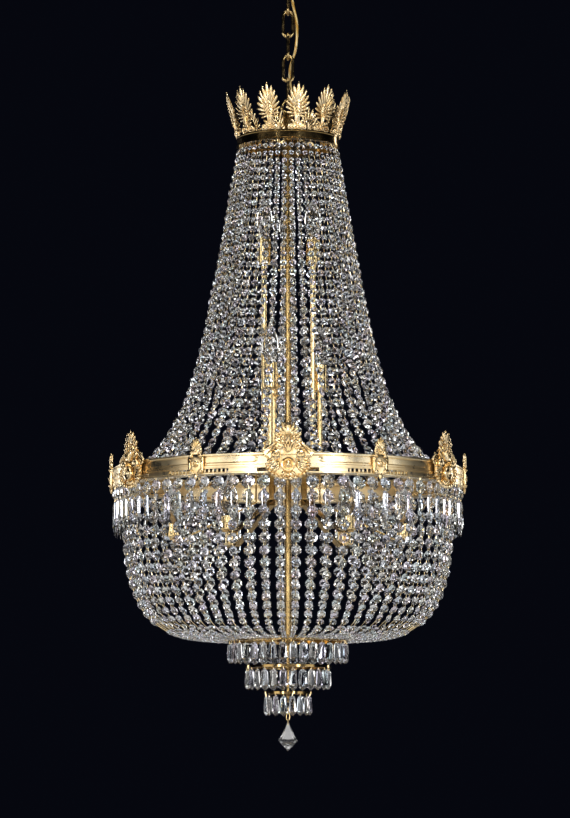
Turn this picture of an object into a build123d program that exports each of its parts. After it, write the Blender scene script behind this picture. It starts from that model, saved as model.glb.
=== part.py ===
from build123d import *
import math
import os

# Crystal basket chandelier, in millimetres. Z is up, the ceiling is z = 0, and the front faces -Y.
# An azimuth is counted in degrees from the front, towards +X.

# Fits and wire
fit_gap = 0.05            # radial clearance of rods in holes, and of chain contacts
seat_gap = 0.3            # between curved faces that don't touch
strand_wire = 1.6         # brass pins between the crystals

# Ceiling bracket, hook and canopy
bracket_diameter = 70.0
bracket_thickness = 5.0
bracket_hole_spacing = 50.0
bracket_hole_diameter = 5.5
boss_diameter = 18.0
boss_depth = 12.0
hook_engagement = 13.0    # length of shank inside plate and boss
hook_wire = 7.0
hook_bowl_radius = 13.0
hook_bend_radius = 12.0
hook_shank = 74.0         # ceiling to the shank's bend
hook_opening = 75.0       # degrees of the bowl's circle left open
nut_height = 6.0
canopy_diameter = 120.0
canopy_depth = 60.0
canopy_wall = 1.2
collar_diameter = 22.0
collar_height = 9.0
grub_screw_diameter = 4.0
terminal_size = (18.0, 12.0, 14.0)

# Chain, loop and cord
link_count = 5
link_length = 57.0
link_width = 25.0
link_wire = 6.0
loop_radius = 12.0
loop_wire = 6.0
socket_diameter = 19.0
socket_length = 26.0
socket_bore_depth = 15.0
cord_diameter = 5.0
# Route of the supply cord: across, depth and height over the loop's centre
cord_route = [
    (14.0, 17.0, 308.0), (14.0, 17.0, 287.0), (10.4, 14.2, 265.0), (7.8, 11.0, 244.0),
    (7.3, 8.6, 223.0), (11.2, 6.5, 201.0),
    (16.8, 4.4, 178.0), (18.3, 3.4, 156.0),
    (17.2, 5.2, 133.0), (14.4, 9.2, 111.0),
    (5.0, 13.0, 88.0), (3.0, 14.4, 66.0),
    (5.4, 17.0, 43.0), (9.4, 15.6, 21.0),
    (13.6, 12.0, -2.0), (16.0, 9.0, -25.0), (16.0, 9.0, -46.0),
]
cord_joins = (4, 6, 8, 10, 12)   # runs whose middle is a join of two spans, one run per link

# Stem and its nuts
stem_diameter = 13.0
stem_wall = 1.5
stem_nut_across = 22.0

# Crown
crown_over_plate = 638.0  # band's lower edge above the main ring's plate
crown_radius = 100.0
crown_wall = 2.5
crown_height = 19.0
crown_bead = 1.2
hanger_width = 9.5
crown_plate = 3.0
crown_hub_radius = 28.0
crown_spoke_width = 12.0
gland_diameter = 11.0
palmette_count = 12
palmette_first_azimuth = 10.0
palmette_length = 92.0
palmette_thickness = 3.0
palmette_lean = 15.0
tab_width = 10.0
tab_depth = 10.0
tab_thickness = 1.6
tab_lip = 2.0

# Main ring
plate_below_loop = 721.0
plate_inner_radius = 284.0
plate_thickness = 3.0
frieze_inner_radius = 334.0
frieze_wall = 4.0
frieze_moulding = 2.6
frieze_height = 26.0
frieze_over_plate = 2.0
gallery_height = 12.0
gallery_wall = 3.0
gallery_radius = 339.5
flange_inner_radius = 306.0
flange_outer_radius = 340.4
flange_thickness = 2.5
window_count = 72
window_width = 20.0
window_height = 6.0
spider_spokes = 6
spider_spoke_width = 14.0
spider_thickness = 4.0
spider_hub_radius = 75.0
spoke_end_radius = 326.0

# Ornaments on the ring
cartouche_count = 6
cartouche_depth = 6.0
finial_count = 6
finial_depth = 5.0
screw_diameter = 4.0
screw_head_diameter = 8.0
screw_head_height = 3.0
screw_bite = 3.5

# Lamps
lamp_stem_diameter = 10.0
lamp_stem_wall = 1.0
tall_stem_height = 403.0
tall_stem_radius = 55.0
tall_stem_azimuths = (62.0, 182.0, 302.0)
short_stem_height = 155.0
short_stem_radius = 62.0
short_stem_azimuths = (85.6, 205.6, 325.6)
arm_azimuths = (30.0, 90.0, 150.0, 210.0, 270.0, 330.0)
arm_width = 12.0
arm_thickness = 3.0
arm_root_radius = 62.0
arm_foot = 22.0
arm_drop = 56.0
arm_reach_radius = 225.0
arm_end_drop = 126.0
arm_pad = 21.0
sleeve_diameter = 26.0
sleeve_wall = 1.2
sleeve_height = 54.0
low_sleeve_height = 28.0
drip_diameter = 36.0
drip_height = 4.0
holder_diameter = 23.0
holder_bore_depth = 15.0
bulb_base_diameter = 14.0
bulb_diameter = 34.0
bulb_height = 78.0

# Crystal strands
tent_strands = 48
tent_top_radius = 94.0
tent_shoulder_radius = 99.5
tent_slope = 0.165
tent_flare = 88.0
tent_flare_height = 89.0
tent_first_bead = 12.2
tent_last_bead = 21.0
tent_bead_gap = 4.2
bag_strands = 66
bag_top_radius = 319.0
bag_depth = 294.0
bag_power = 3.3
bag_first_bead = 23.0
bag_last_bead = 14.0
bag_bead_gap = 6.0
floor_bead = 10.4
floor_bead_gap = 2.0
floor_start_drop = 276.0   # where the wall of the bag turns into its floor
fringe_count = 72
fringe_radius = 336.6
fringe_octagon = 20.0
fringe_prism = 66.0
fringe_prism_width = 17.0
crystal_thickness = 7.0
pin_length = 4.0

# Bottom ring, tiers and bottom drop
bottom_ring_radius = 118.6
bottom_ring_width = 10.0
bottom_ring_height = 8.0
bottom_hub_radius = 22.0
tier_spoke_width = 8.0
tier_counts = (36, 26, 16)
tier_drop_length = 41.0
tier_drop_width = 15.0
tier_2_radius = 79.0
tier_3_radius = 43.0
tier_step = 46.0
tier_ring_width = 9.0
tier_ring_height = 4.5
tier_hub_radius = 10.0
rod_diameter = 6.0
rod_nut_across = 12.0
rod_plug_length = 12.0
rod_below_tier = 5.0
eye_radius = 4.5
eye_wire = 2.2
small_link_count = 3
small_link_length = 15.0
small_link_width = 8.0
small_link_wire = 1.8
bail_radius = 6.0
bail_wire = 1.4
drop_hole = 3.0
drop_hole_depth = 3.4
drop_height = 51.0
drop_width = 39.0
drop_thickness = 24.0
drop_top = 0.16           # width of its top, as a share of the widest place
drop_girdle = 0.36        # height of the widest place, as a share of the drop's height

# Levels that follow from those sizes
hook_circle_z = -hook_shank - hook_bowl_radius * math.sqrt(2)
hook_bowl_z = hook_circle_z - hook_bowl_radius
canopy_floor_z = -canopy_depth
contact = [hook_bowl_z]
link_tops = []
wire_above = hook_wire
for _ in range(link_count):
    link_tops.append(contact[-1] + (wire_above + link_wire) / 2 + fit_gap)
    contact.append(link_tops[-1] - (link_length - link_wire))
    wire_above = link_wire
loop_z = contact[-1] + (link_wire + loop_wire) / 2 + fit_gap - loop_radius
socket_bottom = loop_z - loop_radius - socket_length
plate_z = loop_z - plate_below_loop
crown_z = plate_z + crown_over_plate
crown_inner = crown_radius - crown_wall
hanger_outer = crown_inner - 2 * fit_gap
frieze_top = plate_z + frieze_over_plate
frieze_bottom = frieze_top - frieze_height
frieze_face = frieze_inner_radius + frieze_wall
ornament_back = frieze_face + frieze_moulding + seat_gap
gallery_bottom = frieze_bottom - gallery_height
spider_top = plate_z - plate_thickness
spider_bottom = spider_top - spider_thickness
bag_floor_z = gallery_bottom - bag_depth
bottom_ring_z = bag_floor_z - bottom_ring_height / 2
stem_bottom = bottom_ring_z - nut_height - 5.0
tier_z = (bottom_ring_z, bottom_ring_z - tier_step - tier_ring_height,
          bottom_ring_z - 2 * (tier_step + tier_ring_height))
tier_radii = (bottom_ring_radius - bottom_ring_width / 2, tier_2_radius, tier_3_radius)
rod_bottom = tier_z[2] - rod_below_tier
eye_z = rod_bottom - eye_radius
screw_z = (frieze_top + frieze_bottom) / 2 - 4.0
arm_root_z = spider_bottom
low_lamp_z = arm_root_z - arm_end_drop

os.makedirs("parts", exist_ok=True)


def save(name, *solids):
    """Writes one named piece, or a group of like pieces."""
    shapes = [s for piece in solids for s in piece.solids()]
    export_step(shapes[0] if len(shapes) == 1 else Compound(children=shapes), f"parts/{name}.step")


def around(piece, count, first=0.0):
    """The piece, built at the front, repeated evenly about the Z axis."""
    return [piece.rotate(Axis.Z, first + i * 360.0 / count) for i in range(count)]


def at_front(radius, z, x=0.0):
    return Location((x, -radius, z))


def disc(radius, bottom, height, hole=0.0):
    """Flat round piece on the Z axis, with an optional hole."""
    body = Pos(0, 0, bottom) * Cylinder(radius, height, align=(Align.CENTER, Align.CENTER, Align.MIN))
    if hole:
        body -= Pos(0, 0, bottom - 1) * Cylinder(hole, height + 2, align=(Align.CENTER, Align.CENTER, Align.MIN))
    return body


def turned(points):
    """Solid turned about Z from an outline of (radius, z) points."""
    outline = make_face(Polyline(*[(r, 0, z) for r, z in points], close=True))
    return revolve(outline, Axis.Z)


def bar_between(start, end, radius):
    """Round bar from one point to another."""
    a, b = Vector(start), Vector(end)
    plane = Plane(origin=a, z_dir=b - a)
    return plane * Cylinder(radius, (b - a).length, align=(Align.CENTER, Align.CENTER, Align.MIN))


def hex_nut(across, height, bore, bottom):
    body = extrude(Pos(0, 0, bottom) * RegularPolygon(across / 2, 6), height)
    return body - disc(bore, bottom - 1, height + 2)


def oval_link(length, width, wire, top_wire_z):
    """Closed chain link in the XZ plane. Its upper wire's centre is at top_wire_z."""
    half = (width - wire) / 2
    high, low = top_wire_z - half, top_wire_z - (length - wire) + half
    path = Wire([
        Line((half, 0, low), (half, 0, high)),
        ThreePointArc((half, 0, high), (0, 0, high + half), (-half, 0, high)),
        Line((-half, 0, high), (-half, 0, low)),
        ThreePointArc((-half, 0, low), (0, 0, low - half), (half, 0, low)),
    ])
    section = Plane(origin=(half, 0, low), z_dir=(0, 0, 1)) * Circle(wire / 2)
    return sweep(section, path=path)


def upright_ring(radius, wire, z):
    """Round wire ring in the XZ plane."""
    return Pos(0, 0, z) * Rot(90, 0, 0) * Torus(radius, wire / 2)


# Ceiling end

def ceiling_bracket():
    body = disc(bracket_diameter / 2, -bracket_thickness, bracket_thickness)
    body += disc(boss_diameter / 2, -bracket_thickness - boss_depth, boss_depth)
    depth = bracket_thickness + boss_depth
    body -= disc(hook_wire / 2 + fit_gap, -depth - 1, hook_engagement + 1)
    for x in (-bracket_hole_spacing / 2, bracket_hole_spacing / 2):
        body -= Pos(x, 0, 0) * disc(bracket_hole_diameter / 2, -bracket_thickness - 1, bracket_thickness + 2)
    return body


def ceiling_hook():
    """Shank, bend and an open round bowl whose lowest point is under the shank."""
    shank_top = -(bracket_thickness + boss_depth - hook_engagement)
    diagonal = hook_bowl_radius / math.sqrt(2)
    start, end = 135.0, 135.0 + 360.0 - hook_opening - 45.0

    def on_bowl(angle):
        a = math.radians(angle)
        return (hook_bowl_radius * math.cos(a), 0, hook_circle_z + hook_bowl_radius * math.sin(a))

    bend = (0, 0, -hook_shank)
    shank = FilletPolyline((0, 0, shank_top), bend, (-diagonal, 0, hook_circle_z + diagonal),
                           radius=hook_bend_radius)
    bowl = ThreePointArc(on_bowl(start), on_bowl((start + end) / 2), on_bowl(end))
    path = Wire([*shank.edges(), bowl])
    return sweep(Plane(origin=(0, 0, shank_top), z_dir=(0, 0, -1)) * Circle(hook_wire / 2), path=path)


def canopy_cup():
    """Spun bell with a rolled rim, a shank hole and a cord hole in its floor."""
    r, d, w = canopy_diameter / 2, canopy_depth, canopy_wall
    outer = [(r, -seat_gap), (r, -4.0), (r - 3, -6.0), (r - 5, -0.35 * d), (r - 14, -0.7 * d),
             (r - 30, -d + 4), (r - 36, -d)]
    inner = [(r - 36, -d + w), (r - 30.4, -d + 4 + w), (r - 14 - w, -0.7 * d + w),
             (r - 5 - w, -0.35 * d), (r - 3 - w, -6.0), (r - w, -4.0), (r - w, -seat_gap)]
    cup = turned([(hook_wire / 2 + seat_gap, -d)] + outer[::-1] + inner[::-1]
                 + [(hook_wire / 2 + seat_gap, -d + w)])
    top, second = cord_route[1], cord_route[2]
    share = (loop_z + top[2] - canopy_floor_z) / (top[2] - second[2])
    x = top[0] + share * (second[0] - top[0])
    y = top[1] + share * (second[1] - top[1])
    return cup - Pos(x, y, -d - 5) * Cylinder(cord_diameter / 2 + 1.0, 12, align=(Align.CENTER, Align.CENTER, Align.MIN))


def canopy_collar():
    top = canopy_floor_z
    ring = disc(collar_diameter / 2, top - collar_height, collar_height, hook_wire / 2 + fit_gap)
    hole = Pos(0, 0, top - collar_height / 2) * Rot(0, 90, 0) * Cylinder(
        grub_screw_diameter / 2 + fit_gap, collar_diameter, align=(Align.CENTER, Align.CENTER, Align.MIN))
    screw = bar_between((hook_wire / 2 + fit_gap, 0, top - collar_height / 2),
                        (collar_diameter / 2 + 1.5, 0, top - collar_height / 2), grub_screw_diameter / 2)
    return ring - hole, screw


def terminal_block():
    wide, deep, high = terminal_size
    x, y, over_loop = cord_route[0]
    return Pos(x, y, loop_z + over_loop + high / 2) * Box(wide, deep, high)


# Cord

def cord_spans():
    """The cord as one tube per chain contact. The joins lie in the middle of runs."""
    points = [Vector(x, y, loop_z + z) for x, y, z in cord_route]
    joins = [(points[i] + points[i + 1]) / 2 for i in cord_joins]
    firsts = [0] + [i + 1 for i in cord_joins]
    lasts = [i + 1 for i in cord_joins] + [len(points)]
    spans = []
    for number, (first, last) in enumerate(zip(firsts, lasts)):
        stops = points[first:last]
        if number:
            stops = [joins[number - 1]] + stops
        if number < len(joins):
            stops = stops + [joins[number]]
        radii = []
        for before, corner, after in zip(stops, stops[1:], stops[2:]):
            turn = math.radians((corner - before).get_angle(after - corner))
            run = min((corner - before).length, (after - corner).length)
            radii.append(0.45 * run / math.tan(turn / 2))
        path = FilletPolyline(*stops, radius=radii)
        start = Plane(origin=stops[0], z_dir=stops[1] - stops[0])
        tube = sweep(start * Circle(cord_diameter / 2), path=path)
        spans.append(tube)
        print("cord span", number + 1, "radii", [round(r) for r in radii], "length", round(path.length, 1),
              "volume over section", round(tube.volume / (math.pi * cord_diameter ** 2 / 4 * path.length), 4))
    return spans


# Suspension and stem

def top_loop():
    body = upright_ring(loop_radius, loop_wire, loop_z)
    body += disc(socket_diameter / 2, socket_bottom, socket_length)
    return body - disc(stem_diameter / 2 + fit_gap, socket_bottom - 1, socket_bore_depth + 1)


def stem_tube():
    top = socket_bottom + socket_bore_depth
    return disc(stem_diameter / 2, stem_bottom, top - stem_bottom, stem_diameter / 2 - stem_wall)


def stem_nuts():
    bore = stem_diameter / 2 + fit_gap
    lows = (crown_z - nut_height, crown_z + crown_plate, spider_bottom - nut_height, spider_top,
            bottom_ring_z - nut_height, bottom_ring_z + bottom_ring_height)
    nuts = [hex_nut(stem_nut_across, nut_height, bore, low) for low in lows]
    rod_bore = rod_diameter / 2 + fit_gap
    return nuts + [hex_nut(rod_nut_across, rod_below_tier - 1.0, rod_bore, z - rod_below_tier + 1.0)
                   for z in tier_z[1:]]


# Crown

def crown_band():
    r, h, b = crown_radius, crown_height, crown_bead
    return turned([(crown_inner, crown_z), (r + b, crown_z), (r + b, crown_z + 2 * b), (r, crown_z + 3 * b),
                   (r, crown_z + h - 3 * b), (r + b, crown_z + h - 2 * b), (r + b, crown_z + h),
                   (crown_inner, crown_z + h)])


def spoked_ring(outer, width, height, bottom, hub, bore, spokes, spoke_width, first=30.0):
    """Flat ring joined to a hub by radial bars, all of one thickness."""
    body = disc(outer, bottom, height, outer - width) + disc(hub, bottom, height)
    for spoke in around(at_front((hub + outer - width) / 2, bottom + height / 2)
                        * Box(spoke_width, outer - width - hub + 4, height), spokes, first):
        body += spoke
    return body - disc(bore, bottom - 1, height + 2)


def crown_spider():
    body = spoked_ring(hanger_outer, hanger_width, crown_plate, crown_z, crown_hub_radius,
                       stem_diameter / 2 + fit_gap, 6, crown_spoke_width)
    x, y, over_loop = cord_route[-1]
    gland_top = loop_z + over_loop
    return body + Pos(x, y, crown_z) * Cylinder(gland_diameter / 2, gland_top - crown_z,
                                                align=(Align.CENTER, Align.CENTER, Align.MIN))


def blade(root, tip, half_width):
    """Slender leaf from root to tip, widest past its middle."""
    (x0, z0), (x1, z1) = root, tip
    dx, dz = x1 - x0, z1 - z0
    length = math.hypot(dx, dz)
    nx, nz = -dz / length * half_width, dx / length * half_width
    ring = [(x0 + nx * 0.7, z0 + nz * 0.7), (x0 + dx * 0.7 + nx, z0 + dz * 0.7 + nz),
            (x0 + dx * 0.93 + nx * 0.6, z0 + dz * 0.93 + nz * 0.6), (x1, z1),
            (x0 + dx * 0.93 - nx * 0.6, z0 + dz * 0.93 - nz * 0.6),
            (x0 + dx * 0.7 - nx, z0 + dz * 0.7 - nz), (x0 - nx * 0.7, z0 - nz * 0.7)]
    return make_face(Polyline(*ring, close=True))


def palmette():
    """Cast palmette: a centre leaf, six leaves a side and a scrolled foot, with a tab behind the band."""
    k = palmette_length / 92.0
    leaves = [((0, 30), (0, 92), 3.4)]
    tips = ((16, 80), (24, 68), (25, 55), (24.5, 45.5), (23.5, 35), (18, 25))
    for number, (x, z) in enumerate(tips):
        root = 36 - 3.4 * number
        leaves += [((0, root), (x, z), 2.6), ((0, root), (-x, z), 2.6)]
    face = make_face(Polyline(*[(x * k, z * k) for x, z in (
        (-7, 16), (-10, 34), (-6, 52), (0, 62), (6, 52), (10, 34), (7, 16))], close=True))
    for (x0, z0), (x1, z1), half in leaves:
        face += blade((x0 * k, z0 * k), (x1 * k, z1 * k), half * k)
    face += make_face(Polyline(*[(x * k, z * k) for x, z in (
        (-17, -2), (-20, 6), (-17, 15), (-9, 19), (9, 19), (17, 15), (20, 6), (17, -2))], close=True))
    plate = extrude(Plane.XZ * face, palmette_thickness / 2, both=True)
    top = crown_z + crown_height
    plate = at_front(crown_radius - crown_wall / 2, top) * Rot(palmette_lean, 0, 0) * plate
    big = 4 * palmette_length
    plate -= Pos(0, -crown_radius, top - big / 2) * Box(big, big, big)
    face = crown_inner - 2 * seat_gap
    tab = Pos(0, -face + tab_thickness / 2, top + (tab_lip - tab_depth) / 2) * Box(
        tab_width, tab_thickness, tab_depth + tab_lip)
    lip = Pos(0, -(face + crown_radius) / 2, top + tab_lip / 2) * Box(tab_width, crown_radius - face, tab_lip)
    return plate + tab + lip


# Main ring

def main_ring_plate():
    return disc(frieze_inner_radius - 2 * fit_gap, plate_z - plate_thickness, plate_thickness, plate_inner_radius)


def ring_frieze():
    """Moulded band. Small holes take the ornaments' screws."""
    f, m, lo, hi = frieze_face, frieze_moulding, frieze_bottom, frieze_top
    body = turned([(frieze_inner_radius, lo), (f + m, lo), (f + m, lo + 3), (f, lo + 4.5), (f, hi - 7),
                   (f + 0.6 * m, hi - 5.5), (f + m, hi - 4), (f + m, hi - 1.5), (f, hi), (frieze_inner_radius, hi)])
    for hole in around(screw_hole(), cartouche_count + finial_count):
        body -= hole
    return body


def screw_hole():
    start = (0, -frieze_inner_radius + 5, screw_z)
    return bar_between(start, (0, -frieze_face - 10, screw_z), screw_diameter / 2 + fit_gap)


def ring_gallery():
    """Pierced wall over the flange that the fringe and the bag hang from."""
    body = disc(gallery_radius, gallery_bottom + flange_thickness, gallery_height - flange_thickness,
                gallery_radius - gallery_wall)
    body += disc(flange_outer_radius, gallery_bottom, flange_thickness, flange_inner_radius)
    middle = gallery_bottom + (flange_thickness + gallery_height) / 2
    window = at_front(gallery_radius - gallery_wall / 2, middle) * Box(window_width, 3 * gallery_wall, window_height)
    return body - around(window, window_count)


def ring_spider():
    body = disc(spider_hub_radius, spider_bottom, spider_thickness)
    length = spoke_end_radius - spider_hub_radius + 4
    spoke = at_front(spoke_end_radius - length / 2, (spider_bottom + spider_top) / 2) * Box(
        spider_spoke_width, length, spider_thickness)
    for one in around(spoke, spider_spokes, 30.0):
        body += one
    return body - disc(stem_diameter / 2 + fit_gap, spider_bottom - 1, spider_thickness + 2)


# Ornaments

def relief(points, depth, back):
    """Flat casting from an outline of (across, z) points. Its back is at the radius back."""
    return Pos(0, -back, 0) * extrude(Plane.XZ * make_face(Polyline(*points, close=True)), depth)


def knob(x, z, radius, depth, back):
    return bar_between((x, -back, z), (x, -back - depth, z), radius)


def cartouche():
    """Wide shield: crest, wings, a ringed boss between scrolls and a fluted shell."""
    base, mid = ornament_back, plate_z
    crest = [(-24, -2), (-27, 22), (-25, 44), (-16, 57), (0, 61), (16, 57), (25, 44), (27, 22), (24, -2)]
    wings = [(-40, -22), (-55, 6), (-36, 18), (36, 18), (55, 6), (40, -22)]
    oval = [(41.5 * math.cos(a), -21 + 26 * math.sin(a)) for a in (i * math.pi / 8 for i in range(16))]
    body = relief([(x, mid + z) for x, z in wings], 0.6 * cartouche_depth, base)
    for outline in (crest, oval):
        body += relief([(x, mid + z) for x, z in outline], cartouche_depth, base)
    body += knob(0, mid - 20, 13, cartouche_depth + 5, base)
    body -= knob(0, mid - 20, 9, 3, base + cartouche_depth + 3)
    body += knob(0, mid - 20, 4.5, cartouche_depth + 4, base)
    for side in (-1, 1):
        body += knob(side * 20, mid - 4, 7.5, cartouche_depth + 3, base)
        body += knob(side * 28, mid - 20, 7, cartouche_depth + 2, base)
        body += knob(side * 11, mid + 30, 5.5, cartouche_depth + 2.5, base)
    shell = [(-3.5, 0), (-8, 16), (0, 20), (8, 16), (3.5, 0)]
    body += relief([(x, mid + z) for x, z in shell], cartouche_depth + 3, base)
    bite = bar_between((0, -base + 1, screw_z), (0, -base - screw_bite, screw_z), screw_diameter / 2 + fit_gap)
    return body - bite


def finial():
    """Narrow upright ornament: leafed tip, square block with a boss, and a small drop."""
    base, mid = ornament_back, plate_z
    outline = [(-10, -36), (-16, -30), (-16.5, -4), (-11, 4), (-14, 14), (-9, 26), (0, 34),
               (9, 26), (14, 14), (11, 4), (16.5, -4), (16, -30), (10, -36)]
    body = relief([(x, mid + z) for x, z in outline], finial_depth, base)
    body += relief([(x, mid + z) for x, z in ((-6, -36), (0, -46), (6, -36), (0, -30))], finial_depth, base)
    body += knob(0, mid - 16, 7, finial_depth + 4, base)
    body += knob(0, mid + 12, 5, finial_depth + 3, base)
    for side in (-1, 1):
        body += knob(side * 10, mid - 28, 3.2, finial_depth + 2, base)
        body += knob(side * 10, mid - 5, 3.2, finial_depth + 2, base)
    bite = bar_between((0, -base + 1, screw_z), (0, -base - screw_bite, screw_z), screw_diameter / 2 + fit_gap)
    return body - bite


def ornament_screw():
    head_face = frieze_inner_radius - seat_gap
    head = bar_between((0, -head_face + screw_head_height, screw_z), (0, -head_face, screw_z),
                       screw_head_diameter / 2)
    return head + bar_between((0, -head_face, screw_z), (0, -ornament_back - screw_bite, screw_z),
                              screw_diameter / 2)


# Lamps

def standing(azimuth, radius, z, piece):
    return (at_front(radius, z) * piece).rotate(Axis.Z, azimuth)


def lamp_places():
    """Azimuth, radius, level of the lamp's foot and height of its sleeve, for every lamp."""
    tall = [(a, tall_stem_radius, spider_top + tall_stem_height, sleeve_height) for a in tall_stem_azimuths]
    short = [(a, short_stem_radius, spider_top + short_stem_height, sleeve_height) for a in short_stem_azimuths]
    low = [(a, arm_reach_radius, low_lamp_z, low_sleeve_height) for a in arm_azimuths]
    return tall + short + low


def lamp_stems():
    sizes = [(a, tall_stem_radius, tall_stem_height) for a in tall_stem_azimuths]
    sizes += [(a, short_stem_radius, short_stem_height) for a in short_stem_azimuths]
    return [standing(a, r, spider_top, disc(lamp_stem_diameter / 2, 0, h, lamp_stem_diameter / 2 - lamp_stem_wall))
            for a, r, h in sizes]


def lamp_arm():
    """Flat bar: a foot under the spider's hub, a vertical leg, a sloping run and a pad."""
    t = arm_thickness
    top = arm_root_z - t / 2
    low = low_lamp_z - t / 2
    path = Polyline((-arm_root_radius + arm_foot, top), (-arm_root_radius, top),
                    (-arm_root_radius, arm_root_z - arm_drop), (-arm_reach_radius + arm_pad, low),
                    (-arm_reach_radius - 0.6 * arm_pad, low))
    bar = extrude(Plane.YZ * trace(path, line_width=t), arm_width / 2, both=True)
    over = 4 * arm_reach_radius
    return bar - Pos(0, 0, arm_root_z + over / 2) * Box(over, over, over)


def candle_sleeve(height):
    """Sleeve on a drip collar. The collar's floor carries the lamp holder."""
    r, w = sleeve_diameter / 2, sleeve_wall
    return turned([(0, 0), (r - 2, 0), (drip_diameter / 2 - 1, 1.5), (drip_diameter / 2, drip_height),
                   (drip_diameter / 2 - 1.5, drip_height), (r, drip_height - 1.5), (r, height), (r - w, height),
                   (r - w, drip_height - 1.5), (0, drip_height - 1.5)])


def lamp_holder(height):
    floor = drip_height - 1.5
    body = disc(holder_diameter / 2, floor, height - floor)
    return body - disc(bulb_base_diameter / 2 + fit_gap, height - holder_bore_depth, holder_bore_depth + 1)


def candle_bulb(height):
    """Candle bulb: a base inside the holder and a glass flame shape above it."""
    b, r, h = bulb_base_diameter / 2, bulb_diameter / 2, bulb_height
    low = height - holder_bore_depth
    side = Spline((b, 0, height + 0.5), (r, 0, height + 0.42 * h), (0.45 * r, 0, height + 0.86 * h),
                  (0.1 * r, 0, height + h), tangents=((0.6, 0, 1), (-0.3, 0, 1)))
    edges = [Polyline((0, 0, height + h), (0, 0, low), (b, 0, low), (b, 0, height + 0.5)), side,
             Line((0.1 * r, 0, height + h), (0, 0, height + h))]
    return revolve(make_face(edges), Axis.Z)


# Crystal

def faceted(rings):
    """Solid of flat faces through rings of points, each with as many points as the next."""
    sides = [rings[0], rings[-1]]
    for low, high in zip(rings, rings[1:]):
        sides += [(low[i - 1], low[i], high[i], high[i - 1]) for i in range(len(low))]
    return Solid(Shell([Face(Wire.make_polygon(side)) for side in sides]))


def bead(centre, direction, diameter):
    """Cut bead: two eight-sided pyramids base to base, with flat ends where the pins go in."""
    r, h = diameter / 2, diameter / 2 * 0.94
    corners = [(math.cos(math.pi / 4 * i), math.sin(math.pi / 4 * i)) for i in range(8)]
    rings = [[(x * size, y * size, z) for x, y in corners] for z, size in ((-h, 0.4 * r), (0, r), (h, 0.4 * r))]
    return Plane(origin=centre, z_dir=direction) * faceted(rings)


def strand_pin(start, end):
    """Short six-sided wire between two crystals."""
    section = Plane(origin=start, z_dir=end - start) * RegularPolygon(strand_wire / 2, 6)
    return extrude(section, (end - start).length)


def along(curve, step=1.0):
    """Walks a curve of (radius, z) points and gives the place at any distance from its start."""
    lengths = [0.0]
    for (r0, z0), (r1, z1) in zip(curve, curve[1:]):
        lengths.append(lengths[-1] + math.hypot(r1 - r0, z1 - z0))

    def place(distance):
        i = max(j for j in range(len(lengths) - 1) if lengths[j] <= max(distance, 0))
        share = (distance - lengths[i]) / (lengths[i + 1] - lengths[i])
        (r0, z0), (r1, z1) = curve[i], curve[i + 1]
        return Vector(0, -(r0 + share * (r1 - r0)), z0 + share * (z1 - z0))

    return place, lengths[-1]


def beads_on(curve, first, last, gap, begin, end_margin):
    """Centres and diameters of beads that grow or shrink evenly along a curve."""
    place, total = along(curve)
    spots, distance = [], begin + first / 2
    while True:
        diameter = first + (last - first) * distance / total
        if distance + diameter / 2 + end_margin > total:
            break
        spots.append((place(distance), diameter))
        following = first + (last - first) * (distance + diameter) / total
        distance += (diameter + following) / 2 * 0.94 + gap
    return spots, place(0), place(total)


def strand(spots, start, end):
    """Beads threaded on short straight pins, as one solid."""
    stops = [start] + [centre for centre, _ in spots] + [end]
    pieces = []
    for (centre, diameter), before, after in zip(spots, stops, stops[2:]):
        pieces.append(bead(centre, after - before, diameter))
    for before, after in zip(stops, stops[1:]):
        pieces.append(strand_pin(before, after))
    return pieces[0].fuse(*pieces[1:])


def keep_between(body, low, high):
    """Trims a strand flush with the flat faces that it hangs between."""
    reach = 2 * flange_outer_radius
    return body & Pos(0, 0, (low + high) / 2) * Box(2 * reach, 2 * reach, high - low)


def tent_curve():
    """Side of the tent: nearly straight under the crown, flaring out to the ring."""
    high = crown_over_plate - 12.0
    steps = 120
    curve = [(tent_top_radius, crown_z + 1.0)]
    for i in range(steps + 1):
        h = high * (1 - i / steps)
        r = tent_shoulder_radius + tent_slope * (high - h) + tent_flare * math.exp(-h / tent_flare_height)
        curve.append((r, plate_z + h))
    r, z = curve[-1]
    curve.append((r + 3, plate_z - 1.5))
    return curve


def bag_curve():
    """Side of the bag: upright under the ring, rounding into a flat floor."""
    steps = 160
    inner = bottom_ring_radius + seat_gap
    curve = [(bag_top_radius, gallery_bottom + 1.0)]
    for i in range(steps + 1):
        a = math.pi / 2 * i / steps
        t, u = math.sin(a) ** (2 / bag_power), math.cos(a) ** (2 / bag_power)
        curve.append((inner + (bag_top_radius - inner) * u, gallery_bottom - bag_depth * t))
    return curve


def tent_strand():
    spots, start, end = beads_on(tent_curve(), tent_first_bead, tent_last_bead, tent_bead_gap, 8.0, 7.0)
    return keep_between(strand(spots, start, end), plate_z, crown_z)


def bag_pieces():
    """Wall strand and floor strand, which meet end to end in the middle of a pin."""
    curve = bag_curve()
    turn = next(i for i, (_, z) in enumerate(curve) if z < gallery_bottom - floor_start_drop)
    wall, floor = curve[:turn + 1], curve[turn:]
    wall_spots, start, join = beads_on(wall, bag_first_bead, bag_last_bead, bag_bead_gap, 5.0, 3.0)
    floor_spots, _, end = beads_on(floor, floor_bead, floor_bead, floor_bead_gap, 2.5, 1.0)
    meeting = (wall_spots[-1][0] + floor_spots[0][0]) / 2
    upper = keep_between(strand(wall_spots, start, meeting), bag_floor_z - bag_depth, gallery_bottom)
    return upper, strand(floor_spots, meeting, end)


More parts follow.
